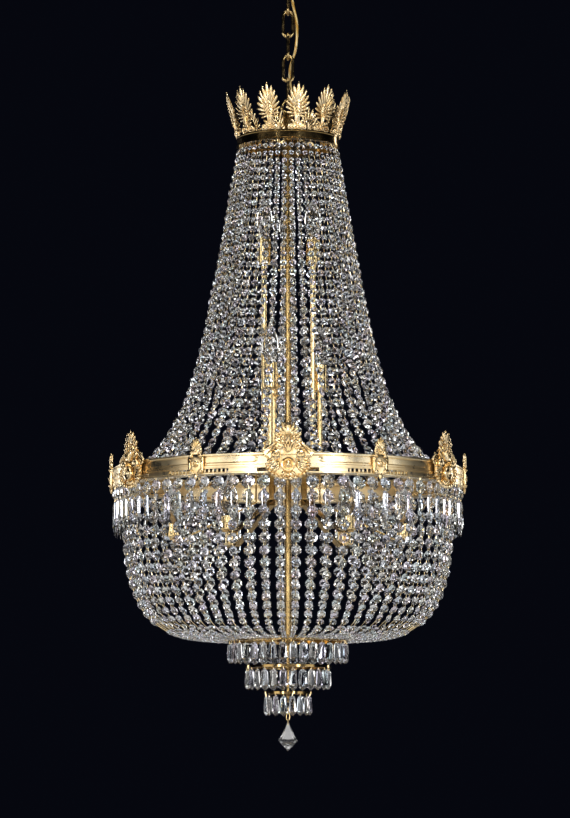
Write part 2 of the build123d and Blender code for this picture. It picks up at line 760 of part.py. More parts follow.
def flat_crystal(width, thickness, levels):
    """Cut drop of six sides. Levels are (z, share of full width), from the top down."""
    rings = []
    for z, share in levels:
        w, t = width / 2 * share, thickness / 2 * share
        rings.append([(-w, 0, z), (-w * 0.45, -t, z), (w * 0.45, -t, z), (w, 0, z), (w * 0.45, t, z),
                      (-w * 0.45, t, z)])
    return faceted(rings)


def flat_octagon(width, thickness, z):
    """Octagon crystal seen face-on, with its edge bevelled to both sides."""
    radius = width / 2 / math.cos(math.pi / 8)
    angles = [math.pi / 8 + math.pi / 4 * i for i in range(8)]
    rings = []
    for share, y in ((0.55, -0.5), (1.0, -0.15), (1.0, 0.15), (0.55, 0.5)):
        rings.append([(radius * share * math.cos(a), y * thickness, z + radius * share * math.sin(a))
                      for a in angles])
    return faceted(rings)


def fringe_drop():
    """Octagon and long prism on pins, under the gallery's flange."""
    top = gallery_bottom
    octagon_z = top - pin_length - fringe_octagon / 2
    prism_top = octagon_z - fringe_octagon / 2 - pin_length
    body = flat_octagon(fringe_octagon, crystal_thickness, octagon_z)
    prism = flat_crystal(fringe_prism_width, crystal_thickness, (
        (prism_top, 0.5), (prism_top - 0.82 * fringe_prism, 1.0), (prism_top - fringe_prism, 0.06)))
    pin = disc(strand_wire / 2, prism_top - 1, top - prism_top + 1)
    return at_front(fringe_radius, 0) * (body + prism + pin)


def tier_drop(radius, top):
    low = top - pin_length
    prism = flat_crystal(tier_drop_width, crystal_thickness, (
        (low, 0.55), (low - 0.78 * (tier_drop_length - pin_length), 1.0), (top - tier_drop_length, 0.06)))
    return at_front(radius, 0) * (prism + disc(strand_wire / 2, low - 1, pin_length + 1))


# Bottom

def bottom_ring():
    return spoked_ring(bottom_ring_radius, bottom_ring_width, bottom_ring_height, bottom_ring_z,
                       bottom_hub_radius, stem_diameter / 2 + fit_gap, 3, tier_spoke_width)


def tier_ring(radius, z):
    return spoked_ring(radius + tier_ring_width / 2, tier_ring_width, tier_ring_height, z,
                       tier_hub_radius, rod_diameter / 2 + fit_gap, 3, tier_spoke_width)


def drop_rod():
    """Rod with a plug inside the stem's end and an eye at its foot."""
    plug = stem_diameter / 2 - stem_wall - fit_gap
    body = disc(plug, stem_bottom, rod_plug_length) + disc(rod_diameter / 2, rod_bottom - 2, stem_bottom - rod_bottom + 2)
    body += (Pos(0, 0, rod_bottom - 2) * Cone(eye_wire / 2, rod_diameter / 2, 3, align=(
        Align.CENTER, Align.CENTER, Align.MIN)))
    return body + upright_ring(eye_radius, eye_wire, eye_z - 1.5).rotate(Axis.Z, 90)


def small_chain():
    """Links that hang from the rod's eye, and the contact where the bail hangs."""
    links, wire, hung = [], eye_wire, eye_z - 1.5 - eye_radius
    for number in range(small_link_count):
        top = hung + (wire + small_link_wire) / 2 + fit_gap
        link = oval_link(small_link_length, small_link_width, small_link_wire, top)
        links.append(link if number % 2 == 0 else link.rotate(Axis.Z, 90))
        hung = top - (small_link_length - small_link_wire)
        wire = small_link_wire
    return links, hung


def drop_bail(hung):
    centre = hung + (small_link_wire + bail_wire) / 2 + fit_gap - bail_radius
    return upright_ring(bail_radius, bail_wire, centre).rotate(Axis.Z, 90), centre - bail_radius


def bottom_drop(bail_foot):
    """Large faceted drop, eight-sided and flattened. Its hole hangs on the bail's rising sides."""
    slope = drop_hole_depth / (drop_height * (1 - drop_girdle))
    grip = drop_thickness / 2 * (drop_top + (1 - drop_top) * slope)
    rise = bail_radius - math.sqrt(bail_radius ** 2 - grip ** 2)
    hole_z = bail_foot + rise + (bail_wire - drop_hole) / 2 + 2 * fit_gap
    top = hole_z + drop_hole_depth
    sections = []
    for z, share in ((top, drop_top), (top - drop_height * (1 - drop_girdle), 1.0), (top - drop_height, 0.03)):
        w, t = drop_width / 2 * share, drop_thickness / 2 * share
        ring = [(w * math.cos(a), t * math.sin(a)) for a in (math.pi / 8 + i * math.pi / 4 for i in range(8))]
        sections.append(Pos(0, 0, z) * make_face(Polyline(*ring, close=True)))
    hole = bar_between((0, -drop_thickness, hole_z), (0, drop_thickness, hole_z), drop_hole / 2)
    return loft(sections, ruled=True) - hole


def halves(pieces):
    middle = len(pieces) // 2
    return pieces[:middle], pieces[middle:]


# Ceiling end
save("ceiling_bracket", ceiling_bracket())
save("ceiling_hook", ceiling_hook())
save("hook_nut", hex_nut(16.0, nut_height, hook_wire / 2 + fit_gap, -bracket_thickness - boss_depth - nut_height))
save("canopy_cup", canopy_cup())
save("canopy_collar", *canopy_collar())
save("terminal_block", terminal_block())

# Chain and cord
for number, top in enumerate(link_tops):
    link = oval_link(link_length, link_width, link_wire, top)
    save(f"chain_link_{number + 1}", link.rotate(Axis.Z, 90) if number % 2 == 0 else link)
for number, span in enumerate(cord_spans()):
    save(f"supply_cord_{number + 1}", span)

# Frame
save("top_loop", top_loop())
save("stem_tube", stem_tube())
save("stem_nuts", *stem_nuts())
save("crown_band", crown_band())
save("crown_spider", crown_spider())
save("crown_palmettes", *around(palmette(), palmette_count, palmette_first_azimuth))
save("main_ring_plate", main_ring_plate())
save("ring_frieze", ring_frieze())
save("ring_gallery", ring_gallery())
save("ring_spider", ring_spider())
for number, one in enumerate(around(cartouche(), cartouche_count)):
    save(f"ring_cartouche_{number + 1}", one)
for number, one in enumerate(around(finial(), finial_count, 30.0)):
    save(f"ring_finial_{number + 1}", one)
save("ornament_screws", *around(ornament_screw(), cartouche_count + finial_count))

# Lamps
save("lamp_stems", *lamp_stems())
save("lower_lamp_arms", *[lamp_arm().rotate(Axis.Z, a) for a in arm_azimuths])
save("candle_sleeves", *[standing(a, r, z, candle_sleeve(h)) for a, r, z, h in lamp_places()])
save("lamp_holders", *[standing(a, r, z, lamp_holder(h)) for a, r, z, h in lamp_places()])
save("candle_bulbs", *[standing(a, r, z, candle_bulb(h)) for a, r, z, h in lamp_places()])

# Crystal
half_step = 180.0 / tent_strands
for number, group in enumerate(halves(around(tent_strand(), tent_strands, half_step))):
    save(f"tent_strands_{number + 1}", *group)
wall_strand, floor_strand = bag_pieces()
bag_half_step = 180.0 / bag_strands
for number, group in enumerate(halves(around(wall_strand, bag_strands, bag_half_step))):
    save(f"bag_strands_{number + 1}", *group)
save("bag_floor_strands", *around(floor_strand, bag_strands, bag_half_step))
save("fringe_drops", *around(fringe_drop(), fringe_count, 180.0 / fringe_count))

# Bottom
save("bottom_ring", bottom_ring())
save("tier_rings", *[tier_ring(radius, z) for radius, z in zip(tier_radii[1:], tier_z[1:])])
for number, (radius, z, count) in enumerate(zip(tier_radii, tier_z, tier_counts)):
    save(f"tier_{number + 1}_drops", *around(tier_drop(radius, z), count, 180.0 / count))
save("drop_rod", drop_rod())
small_links, last_contact = small_chain()
save("drop_chain", *small_links)
bail, bail_foot = drop_bail(last_contact)
save("drop_bail", bail)
save("bottom_drop", bottom_drop(bail_foot))
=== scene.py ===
import math
import random
import bmesh
import bpy
import numpy as np
from mathutils import Matrix, Vector


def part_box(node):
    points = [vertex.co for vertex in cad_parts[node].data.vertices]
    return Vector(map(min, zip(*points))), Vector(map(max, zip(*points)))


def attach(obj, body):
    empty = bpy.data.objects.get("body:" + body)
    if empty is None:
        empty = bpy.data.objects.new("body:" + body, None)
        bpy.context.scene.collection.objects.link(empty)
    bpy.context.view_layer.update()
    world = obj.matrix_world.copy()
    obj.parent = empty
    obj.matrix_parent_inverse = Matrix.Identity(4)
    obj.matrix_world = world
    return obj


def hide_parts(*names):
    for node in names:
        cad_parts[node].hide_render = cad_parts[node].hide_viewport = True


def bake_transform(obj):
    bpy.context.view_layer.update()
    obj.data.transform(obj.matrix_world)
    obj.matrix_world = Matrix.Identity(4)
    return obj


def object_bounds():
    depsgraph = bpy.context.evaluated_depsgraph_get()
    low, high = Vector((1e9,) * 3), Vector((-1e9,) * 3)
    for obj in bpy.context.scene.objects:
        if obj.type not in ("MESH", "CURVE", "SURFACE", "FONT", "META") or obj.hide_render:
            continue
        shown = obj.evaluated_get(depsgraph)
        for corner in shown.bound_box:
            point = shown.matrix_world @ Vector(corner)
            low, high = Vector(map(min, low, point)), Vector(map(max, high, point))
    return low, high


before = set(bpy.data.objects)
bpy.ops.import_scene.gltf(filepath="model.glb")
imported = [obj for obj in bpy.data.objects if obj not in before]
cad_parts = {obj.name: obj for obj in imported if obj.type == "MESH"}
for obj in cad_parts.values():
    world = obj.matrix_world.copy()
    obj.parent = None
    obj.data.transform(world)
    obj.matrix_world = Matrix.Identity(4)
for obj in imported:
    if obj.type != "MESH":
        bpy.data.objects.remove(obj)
cadBox = [list(corner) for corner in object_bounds()]

# levels that the pieces hang from, read off the CAD frame
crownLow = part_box("crown_band")[0].z
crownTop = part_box("crown_band")[1].z
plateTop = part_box("main_ring_plate")[1].z
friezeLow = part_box("ring_frieze")[0].z
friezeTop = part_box("ring_frieze")[1].z
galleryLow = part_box("ring_gallery")[0].z
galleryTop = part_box("ring_gallery")[1].z
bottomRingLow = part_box("bottom_ring")[0].z
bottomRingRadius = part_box("bottom_ring")[1].x
print("frame loaded, ring plate at", round(plateTop, 4))


# camera, light and room

cameraSetup = {"distance": 6.5, "side": -0.0058, "height": -1.68235, "pitch": 6.55, "lens": 147.4}


def addCamera(setup):
    data = bpy.data.cameras.new("photoCamera")
    data.lens = setup["lens"]
    data.clip_end = 60
    camera = bpy.data.objects.new("photoCamera", data)
    camera.location = (setup["side"], -setup["distance"], setup["height"])
    camera.rotation_euler = (math.radians(90 + setup["pitch"]), 0, 0)
    bpy.context.scene.collection.objects.link(camera)
    bpy.context.scene.camera = camera


softboxes = {   # place, width and height, watts, tint: panels for the metal's sheen, strips for glints
    "panelFront": ((0.1, -6.9, -0.35), (4.6, 1.2), 34, (1, 0.98, 0.94)),
    "panelLeft": ((-3.3, -2.4, -1.0), (2.0, 2.2), 24, (1, 0.98, 0.95)),
    "panelRight": ((3.4, -2.0, -1.1), (1.8, 2.2), 18, (0.94, 0.97, 1)),
    "panelLow": ((0.1, -5.3, -2.25), (3.0, 0.8), 26, (1, 0.99, 0.98)),
    "panelTop": ((0.0, -0.9, 2.0), (2.2, 2.2), 26, (1, 1, 1)),
    "stripLeft": ((-1.9, -4.4, -0.8), (0.42, 1.9), 42, (0.97, 0.98, 1)),
    "stripRight": ((2.1, -4.1, -0.9), (0.40, 1.9), 38, (0.94, 0.97, 1)),
    "stripHigh": ((0.6, -3.4, 2.1), (1.6, 0.40), 34, (1, 1, 1)),
    "stripBackLeft": ((-2.6, 2.4, -0.9), (0.5, 1.8), 20, (0.92, 0.95, 1)),
    "stripBackRight": ((2.5, 2.6, -0.5), (0.5, 1.8), 20, (1, 0.97, 0.93)),
}


def addSoftboxes(boxes, aim=(0, 0, -0.95)):
    for name, (place, size, watts, tint) in boxes.items():
        data = bpy.data.lights.new(name, "AREA")
        data.shape = "RECTANGLE"
        data.size, data.size_y = size
        data.energy = watts
        data.color = tint
        lamp = bpy.data.objects.new(name, data)
        lamp.location = place
        lamp.rotation_euler = (Vector(aim) - Vector(place)).to_track_quat("-Z", "Y").to_euler()
        bpy.context.scene.collection.objects.link(lamp)


roomLook = {"backdrop": (0.0018, 0.0022, 0.0045), "ambient": (0.50, 0.51, 0.54), "ambientStrength": 0.5,
            "floorTint": (0.74, 0.73, 0.71), "floorDrop": 0.75, "floorSize": 14.0}


def mathNode(nodes, links, operation, *values):
    node = nodes.new("ShaderNodeMath")
    node.operation = operation
    for socket, value in zip(node.inputs, values):
        if isinstance(value, bpy.types.NodeSocket):
            links.new(value, socket)
        else:
            socket.default_value = value
    return node.outputs[0]


def addRoom(look):
    world = bpy.data.worlds.new("studio")
    bpy.context.scene.world = world
    world.use_nodes = True
    nodes, links = world.node_tree.nodes, world.node_tree.links
    nodes.clear()
    seen = nodes.new("ShaderNodeBackground")        # what the camera, glass and metal see
    seen.inputs["Color"].default_value = (*look["backdrop"], 1)
    light = nodes.new("ShaderNodeBackground")       # soft fill
    light.inputs["Color"].default_value = (*look["ambient"], 1)
    light.inputs["Strength"].default_value = look["ambientStrength"]
    path = nodes.new("ShaderNodeLightPath")
    mix = nodes.new("ShaderNodeMixShader")
    out = nodes.new("ShaderNodeOutputWorld")
    direct, through = path.outputs["Is Camera Ray"], path.outputs["Is Transmission Ray"]
    mirrored = path.outputs["Is Glossy Ray"]
    either = mathNode(nodes, links, "MAXIMUM", direct, through)
    dark = mathNode(nodes, links, "MAXIMUM", either, mirrored)
    links.new(dark, mix.inputs[0])
    links.new(light.outputs[0], mix.inputs[1])
    links.new(seen.outputs[0], mix.inputs[2])
    links.new(mix.outputs[0], out.inputs["Surface"])

    floorZ = cadBox[0][2] - look["floorDrop"]
    deselectAll()
    bpy.ops.mesh.primitive_circle_add(vertices=96, radius=look["floorSize"] / 2, fill_type="NGON",
                                      location=(0, 0, floorZ))
    floor = bpy.context.object
    floor.name = "floor"
    bpy.ops.object.transform_apply(location=True)
    paper = bpy.data.materials.new("paleFloor")
    paper.use_nodes = True
    shader = paper.node_tree.nodes["Principled BSDF"]
    shader.inputs["Base Color"].default_value = (*look["floorTint"], 1)
    shader.inputs["Roughness"].default_value = 0.9
    floor.data.materials.append(paper)


# small tools

def deselectAll():
    if bpy.context.object and bpy.context.object.mode != "OBJECT":
        bpy.ops.object.mode_set(mode="OBJECT")
    for thing in bpy.context.selected_objects:
        thing.select_set(False)


def pickOnly(thing):
    deselectAll()
    thing.select_set(True)
    bpy.context.view_layer.objects.active = thing


def pickFaces(thing, test):
    mesh = bmesh.from_edit_mesh(thing.data)
    mesh.normal_update()
    for face in mesh.faces:
        face.select = bool(test(face.calc_center_median(), face.normal))
    for edge in mesh.edges:
        edge.select = any(f.select for f in edge.link_faces)
    for vert in mesh.verts:
        vert.select = any(f.select for f in vert.link_faces)
    bmesh.update_edit_mesh(thing.data)


def pickVerts(thing, test):
    mesh = bmesh.from_edit_mesh(thing.data)
    for vert in mesh.verts:
        vert.select = bool(test(vert.co))
    for edge in mesh.edges:
        edge.select = all(v.select for v in edge.verts)
    for face in mesh.faces:
        face.select = all(v.select for v in face.verts)
    bmesh.update_edit_mesh(thing.data)


def dropObject(thing):
    data = thing.data
    bpy.data.objects.remove(thing)
    if data and data.users == 0:
        bpy.data.meshes.remove(data)


def takeArrays(model):
    # points and faces of a finished model, which is then thrown away
    points = np.array([v.co for v in model.data.vertices], float).reshape(-1, 3)
    faces = [tuple(p.vertices) for p in model.data.polygons]
    dropObject(model)
    return points, faces


def newObject(name, points, edges, faces):
    mesh = bpy.data.meshes.new(name)
    mesh.from_pydata(points, edges, faces)
    thing = bpy.data.objects.new(name, mesh)
    bpy.context.scene.collection.objects.link(thing)
    return thing


def editObject(thing):
    pickOnly(thing)
    bpy.ops.object.mode_set(mode="EDIT")
    bpy.ops.mesh.select_all(action="SELECT")


def turnOutwards():
    bpy.ops.mesh.select_all(action="SELECT")
    bpy.ops.mesh.normals_make_consistent(inside=False)
    bpy.ops.object.mode_set(mode="OBJECT")


def spinAll(axis, steps):
    # the selected profile turned once round the axis and closed
    bpy.ops.mesh.spin(steps=steps, angle=2 * math.pi, center=(0, 0, 0), axis=axis)
    bpy.ops.mesh.select_all(action="SELECT")
    bpy.ops.mesh.remove_doubles(threshold=0.00002)
    turnOutwards()


def softenEdges(model, width):
    soft = model.modifiers.new("soft", "BEVEL")
    soft.width = width
    soft.segments = 2
    soft.limit_method = "ANGLE"
    bpy.ops.object.modifier_apply(modifier=soft.name)


def stampCopies(name, parts, fireTints=None):
    # parts is a list of (arrays of a model, list of places), joined here as one mesh
    points, faces, colours, count = [], [], [], 0
    for (modelPoints, modelFaces), places in parts:
        for i, place in enumerate(places):
            turn = np.array(place.to_3x3())
            points.append(modelPoints @ turn.T + np.array(place.translation))
            faces += [tuple(v + count for v in face) for face in modelFaces]
            if fireTints is not None:
                colours.append(np.repeat([fireTints[len(colours) % len(fireTints)]], len(modelPoints), axis=0))
            count += len(modelPoints)
    piece = newObject(name, np.concatenate(points).tolist(), [], faces)
    # the per-copy colours in the tint attribute are painted coloured glints standing in for dispersion fire
    if fireTints is not None:
        layer = piece.data.color_attributes.new("tint", "FLOAT_COLOR", "POINT")
        rgba = np.ones((count, 4), np.float32)
        rgba[:, :3] = np.concatenate(colours)
        layer.data.foreach_set("color", rgba.ravel())
    piece.data.update()
    return piece


def aboutZ(degrees):
    return Matrix.Rotation(math.radians(degrees), 4, "Z")


def turnsAbout(count, first=0.0):
    # a turn for every step around the vertical axis, azimuth 0 being the front
    return [aboutZ(first + i * 360.0 / count) for i in range(count)]


def roundTheAxis(places, count, first=0.0):
    return [turn @ place for turn in turnsAbout(count, first) for place in places]


def sized(size):
    return Matrix.Diagonal((size, size, size, 1))


def finishPiece(piece, body, material, replaced=(), smooth=None):
    piece.data.materials.clear()
    piece.data.materials.append(material)
    if smooth is not None:
        pickOnly(piece)
        bpy.ops.object.shade_smooth_by_angle(angle=math.radians(smooth))
        deselectAll()
    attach(piece, body)
    if replaced:
        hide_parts(*replaced)
    return piece


# materials

def newMaterial(name, **values):
    material = bpy.data.materials.new(name)
    material.use_nodes = True
    nodes, links = material.node_tree.nodes, material.node_tree.links
    shader = nodes["Principled BSDF"]
    for socket, value in values.items():
        shader.inputs[socket.replace("_", " ")].default_value = value
    return material, nodes, links, shader


def objectNoise(nodes, links, scale, detail=3.0, stretch=(1, 1, 1)):
    coords = nodes.new("ShaderNodeTexCoord")
    mapping = nodes.new("ShaderNodeMapping")
    mapping.inputs["Scale"].default_value = stretch
    noise = nodes.new("ShaderNodeTexNoise")
    noise.inputs["Scale"].default_value = scale
    noise.inputs["Detail"].default_value = detail
    links.new(coords.outputs["Object"], mapping.inputs["Vector"])
    links.new(mapping.outputs["Vector"], noise.inputs["Vector"])
    return noise


def ramp(nodes, links, source, low, high, start=0.3, end=0.7):
    node = nodes.new("ShaderNodeValToRGB")
    node.color_ramp.elements[0].position = start
    node.color_ramp.elements[1].position = end
    node.color_ramp.elements[0].color = (*low, 1) if len(low) == 3 else low
    node.color_ramp.elements[1].color = (*high, 1) if len(high) == 3 else high
    links.new(source, node.inputs[0])
    return node


metalLooks = {  # pale tone, deep tone, roughness low and high, grain size, bump
    "giltCast": {"pale": (0.97, 0.79, 0.50), "deep": (0.76, 0.51, 0.21), "rough": (0.14, 0.30), "grain": 90,
                 "bump": 0.10},
    "mirrorBrass": {"pale": (0.93, 0.72, 0.38), "deep": (0.86, 0.62, 0.28), "rough": (0.04, 0.11),
                    "grain": 30, "bump": 0.01},
    "satinBrass": {"pale": (0.97, 0.80, 0.52), "deep": (0.90, 0.69, 0.38), "rough": (0.24, 0.36), "grain": 40,
                   "bump": 0.02},
    "chainBrass": {"pale": (0.58, 0.43, 0.20), "deep": (0.30, 0.20, 0.08), "rough": (0.10, 0.24), "grain": 70,
                   "bump": 0.05},
    # a darker copy of the brass for the parts inside the crystals, the crown band and the lower rings:
    # painted shade
    "shadedBrass": {"pale": (0.46, 0.32, 0.13), "deep": (0.31, 0.20, 0.08), "rough": (0.10, 0.20), "grain": 45,
                   "bump": 0.02},
    "pinBrass": {"pale": (0.94, 0.78, 0.50), "deep": (0.80, 0.60, 0.30), "rough": (0.12, 0.25), "grain": 160,
                 "bump": 0.0},
    "zincSteel": {"pale": (0.72, 0.72, 0.72), "deep": (0.55, 0.55, 0.57), "rough": (0.22, 0.4), "grain": 120,
                  "bump": 0.02},
}


def metalMaterial(name):
    look = metalLooks[name]
    material, nodes, links, shader = newMaterial(name, Metallic=1.0)
    noise = objectNoise(nodes, links, look["grain"])
    tone = ramp(nodes, links, noise.outputs["Fac"], look["deep"], look["pale"])
    links.new(tone.outputs[0], shader.inputs["Base Color"])
    low, high = look["rough"]
    shine = ramp(nodes, links, noise.outputs["Fac"], (high,) * 3, (low,) * 3, 0.35, 0.65)
    links.new(shine.outputs[0], shader.inputs["Roughness"])
    if look["bump"]:
        bump = nodes.new("ShaderNodeBump")
        bump.inputs["Strength"].default_value = look["bump"]
        bump.inputs["Distance"].default_value = 0.0006
        links.new(noise.outputs["Fac"], bump.inputs["Height"])
        links.new(bump.outputs[0], shader.inputs["Normal"])
    return material


def cutCrystalMaterial():
    material, nodes, links, shader = newMaterial("cutCrystal", Roughness=0.0, IOR=1.6,
                                                 Transmission_Weight=1.0)
    # the tint attribute colours the clear glass: painted coloured glints standing in for dispersion fire
    tint = nodes.new("ShaderNodeAttribute")
    tint.attribute_name = "tint"
    links.new(tint.outputs["Color"], shader.inputs["Base Color"])
    return material


def lampGlassMaterial():
    material, nodes, links, shader = newMaterial("lampGlass", Roughness=0.02, IOR=1.35,
                                                 Transmission_Weight=1.0)
    noise = objectNoise(nodes, links, 20)
    tone = ramp(nodes, links, noise.outputs["Fac"], (0.93, 0.91, 0.86), (1, 0.99, 0.95))
    links.new(tone.outputs[0], shader.inputs["Base Color"])
    return material


def plasticMaterial(name, pale, deep, roughness, grain):
    material, nodes, links, shader = newMaterial(name, Roughness=roughness)
    noise = objectNoise(nodes, links, grain)
    tone = ramp(nodes, links, noise.outputs["Fac"], deep, pale)
    links.new(tone.outputs[0], shader.inputs["Base Color"])
    return material


cordLook = {"pale": (1.0, 0.80, 0.36), "deep": (0.66, 0.38, 0.08), "twists": 110.0, "cores": 2}


def cordMaterial(look):
    # clear gold jacket over two twisted cores, drawn on the tube's own UV map
    material, nodes, links, shader = newMaterial("goldCord", Roughness=0.16, IOR=1.47,
                                                 Transmission_Weight=0.35, Coat_Weight=0.5,
                                                 Coat_Roughness=0.08)
    uv = nodes.new("ShaderNodeUVMap")
    uv.uv_map = "alongCord"
    split = nodes.new("ShaderNodeSeparateXYZ")
    links.new(uv.outputs[0], split.inputs[0])
    length = mathNode(nodes, links, "MULTIPLY", split.outputs["Y"], look["twists"])
    around = mathNode(nodes, links, "MULTIPLY", split.outputs["X"], 2 * math.pi * look["cores"])
    wave = mathNode(nodes, links, "SINE", mathNode(nodes, links, "ADD", length, around))
    tone = ramp(nodes, links, wave, look["deep"], look["pale"], 0.0, 0.85)
    links.new(tone.outputs[0], shader.inputs["Base Color"])
    return material


addCamera(cameraSetup)
addSoftboxes(softboxes)
addRoom(roomLook)
bpy.context.scene.view_settings.view_transform = "Standard"
gilt = metalMaterial("giltCast")
mirrorBrass = metalMaterial("mirrorBrass")
satinBrass = metalMaterial("satinBrass")
chainBrass = metalMaterial("chainBrass")
shadedBrass = metalMaterial("shadedBrass")
pinBrass = metalMaterial("pinBrass")
zincSteel = metalMaterial("zincSteel")
crystal = cutCrystalMaterial()
lampGlass = lampGlassMaterial()
holderBlack = plasticMaterial("holderBlack", (0.05, 0.05, 0.05), (0.03, 0.03, 0.03), 0.5, 60)
terminalWhite = plasticMaterial("terminalWhite", (0.88, 0.88, 0.86), (0.80, 0.80, 0.78), 0.5, 60)
cordGold = cordMaterial(cordLook)
print("camera, light and materials ready")


# supply cord: down the chain from the canopy into the crown's gland

cordSetup = {
    "diameter": 0.005, "sides": 20, "steps": 14,
    "route": [  # across and behind the axis, and above the top loop's centre, as in the CAD
        (14.0, 17.0, 308.0), (14.0, 17.0, 287.0), (10.4, 14.2, 265.0), (7.8, 11.0, 244.0),
        (7.3, 8.6, 223.0), (11.2, 6.5, 201.0),
        (16.8, 4.4, 178.0), (18.3, 3.4, 156.0),
        (17.2, 5.2, 133.0), (14.4, 9.2, 111.0),
        (5.0, 13.0, 88.0), (3.0, 14.4, 66.0),
        (5.4, 17.0, 43.0), (9.4, 15.6, 21.0),
        (13.6, 12.0, -2.0), (16.0, 9.0, -25.0), (16.0, 9.0, -46.0)],
    "joins": (4, 6, 8, 10, 12),
    "bodies": ("ceiling", "link_1", "link_2", "link_3", "link_4", "link_5", "frame"),
}


def cordPath(points, steps):
    # the smooth line of a NURBS spline with these control points
    curve = bpy.data.curves.new("route", "CURVE")
    curve.dimensions = "3D"
    spline = curve.splines.new("NURBS")
    spline.points.add(len(points) - 1)
    for place, point in zip(points, spline.points):
        point.co = (*place, 1)
    spline.order_u = 3
    spline.use_endpoint_u = True
    spline.resolution_u = steps
    holder = bpy.data.objects.new("route", curve)
    bpy.context.scene.collection.objects.link(holder)
    bpy.context.view_layer.update()
    mesh = bpy.data.meshes.new_from_object(holder)
    path = [v.co.copy() for v in mesh.vertices]
    bpy.data.objects.remove(holder)
    bpy.data.meshes.remove(mesh)
    if (path[0] - Vector(points[0])).length > (path[-1] - Vector(points[0])).length:
        path.reverse()
    return path


def tubeAlong(name, path, radius, sides):
    # closed round tube that follows the path, with its length and turn in a UV map
    tangents = [(b - a).normalized() for a, b in zip(path, path[1:])]
    tangents.append(tangents[-1])
    side = tangents[0].orthogonal().normalized()
    verts, faces, lengths, total = [], [], [], 0.0
    for i, (centre, tangent) in enumerate(zip(path, tangents)):
        side = (side - tangent * side.dot(tangent)).normalized()
        across = tangent.cross(side)
        total += (centre - path[i - 1]).length if i else 0.0
        lengths.append(total)
        for k in range(sides):
            angle = 2 * math.pi * k / sides
            verts.append(centre + radius * (math.cos(angle) * side + math.sin(angle) * across))
    for i in range(len(path) - 1):
        for k in range(sides):
            a, b = i * sides + k, i * sides + (k + 1) % sides
            faces.append((a, b, b + sides, a + sides))
    last = (len(path) - 1) * sides
    faces += [tuple(reversed(range(sides))), tuple(range(last, last + sides))]
    tube = newObject(name, [tuple(v) for v in verts], [], faces)
    mesh = tube.data
    layer = mesh.uv_layers.new(name="alongCord")
    for face in mesh.polygons:
        turns = [mesh.loops[l].vertex_index % sides for l in face.loop_indices]
        wraps = len(turns) == 4 and 0 in turns and sides - 1 in turns
        for l, turn in zip(face.loop_indices, turns):
            ring = mesh.loops[l].vertex_index // sides
            layer.data[l].uv = ((sides if wraps and turn == 0 else turn) / sides, lengths[ring])
    mesh.update()
    return tube


def addSupplyCord(setup):
    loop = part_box("top_loop")
    loopZ = loop[1].z - (loop[1].x - loop[0].x) / 2
    points = [Vector((x / 1000, y / 1000, loopZ + z / 1000)) for x, y, z in setup["route"]]
    joins = [(points[i] + points[i + 1]) / 2 for i in setup["joins"]]
    firsts = [0] + [i + 1 for i in setup["joins"]]
    lasts = [i + 1 for i in setup["joins"]] + [len(points)]
    for number, (first, last) in enumerate(zip(firsts, lasts)):
        stops = ([joins[number - 1]] if number else []) + points[first:last]
        stops += [joins[number]] if number < len(joins) else []
        path = cordPath(stops, setup["steps"])
        tube = tubeAlong(f"supplyCord{number + 1}", path, setup["diameter"] / 2, setup["sides"])
        tube.data.materials.append(cordGold)
        for face in tube.data.polygons:
            face.use_smooth = len(face.vertices) == 4
        length = sum((b - a).length for a, b in zip(path, path[1:]))
        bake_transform(tube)
        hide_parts(f"supply_cord_{number + 1}")
        tuple(path[0])
        [tuple(p) for p in path]
        print("cord span", number + 1, "length", round(length, 4))


addSupplyCord(cordSetup)


# cut crystals, each modelled once at unit size

octagonCut = {"radius": 0.541, "rim": 0.04, "crownHeight": 0.21, "table": 0.36}


def modelOctagon(cut):
    # two-sided octagon: thin rim, tables turned half a step, triangular bevels
    deselectAll()
    bpy.ops.mesh.primitive_cylinder_add(vertices=8, radius=cut["radius"], depth=cut["rim"],
                                        rotation=(math.pi / 2, 0, 0))
    model = bpy.context.object
    bpy.ops.object.transform_apply(rotation=True)
    bpy.ops.object.mode_set(mode="EDIT")
    pickVerts(model, lambda co: True)
    bpy.ops.transform.rotate(value=math.pi / 8, orient_axis="Y", center_override=(0, 0, 0))
    for side in (-1, 1):
        pickFaces(model, lambda c, n: n.y * side > 0.9)
        bpy.ops.mesh.extrude_region_move(TRANSFORM_OT_translate={"value": (0, side * cut["crownHeight"], 0)})
        bpy.ops.transform.resize(value=(cut["table"], 1, cut["table"]), center_override=(0, 0, 0))
        bpy.ops.transform.rotate(value=math.pi / 8, orient_axis="Y", center_override=(0, 0, 0))
    pickFaces(model, lambda c, n: abs(n.y) < 0.95 and abs(c.y) > cut["rim"] / 2 + 0.01)
    bpy.ops.mesh.quads_convert_to_tris(quad_method="SHORTEST_DIAGONAL")
    bpy.ops.object.mode_set(mode="OBJECT")
    return takeArrays(model)


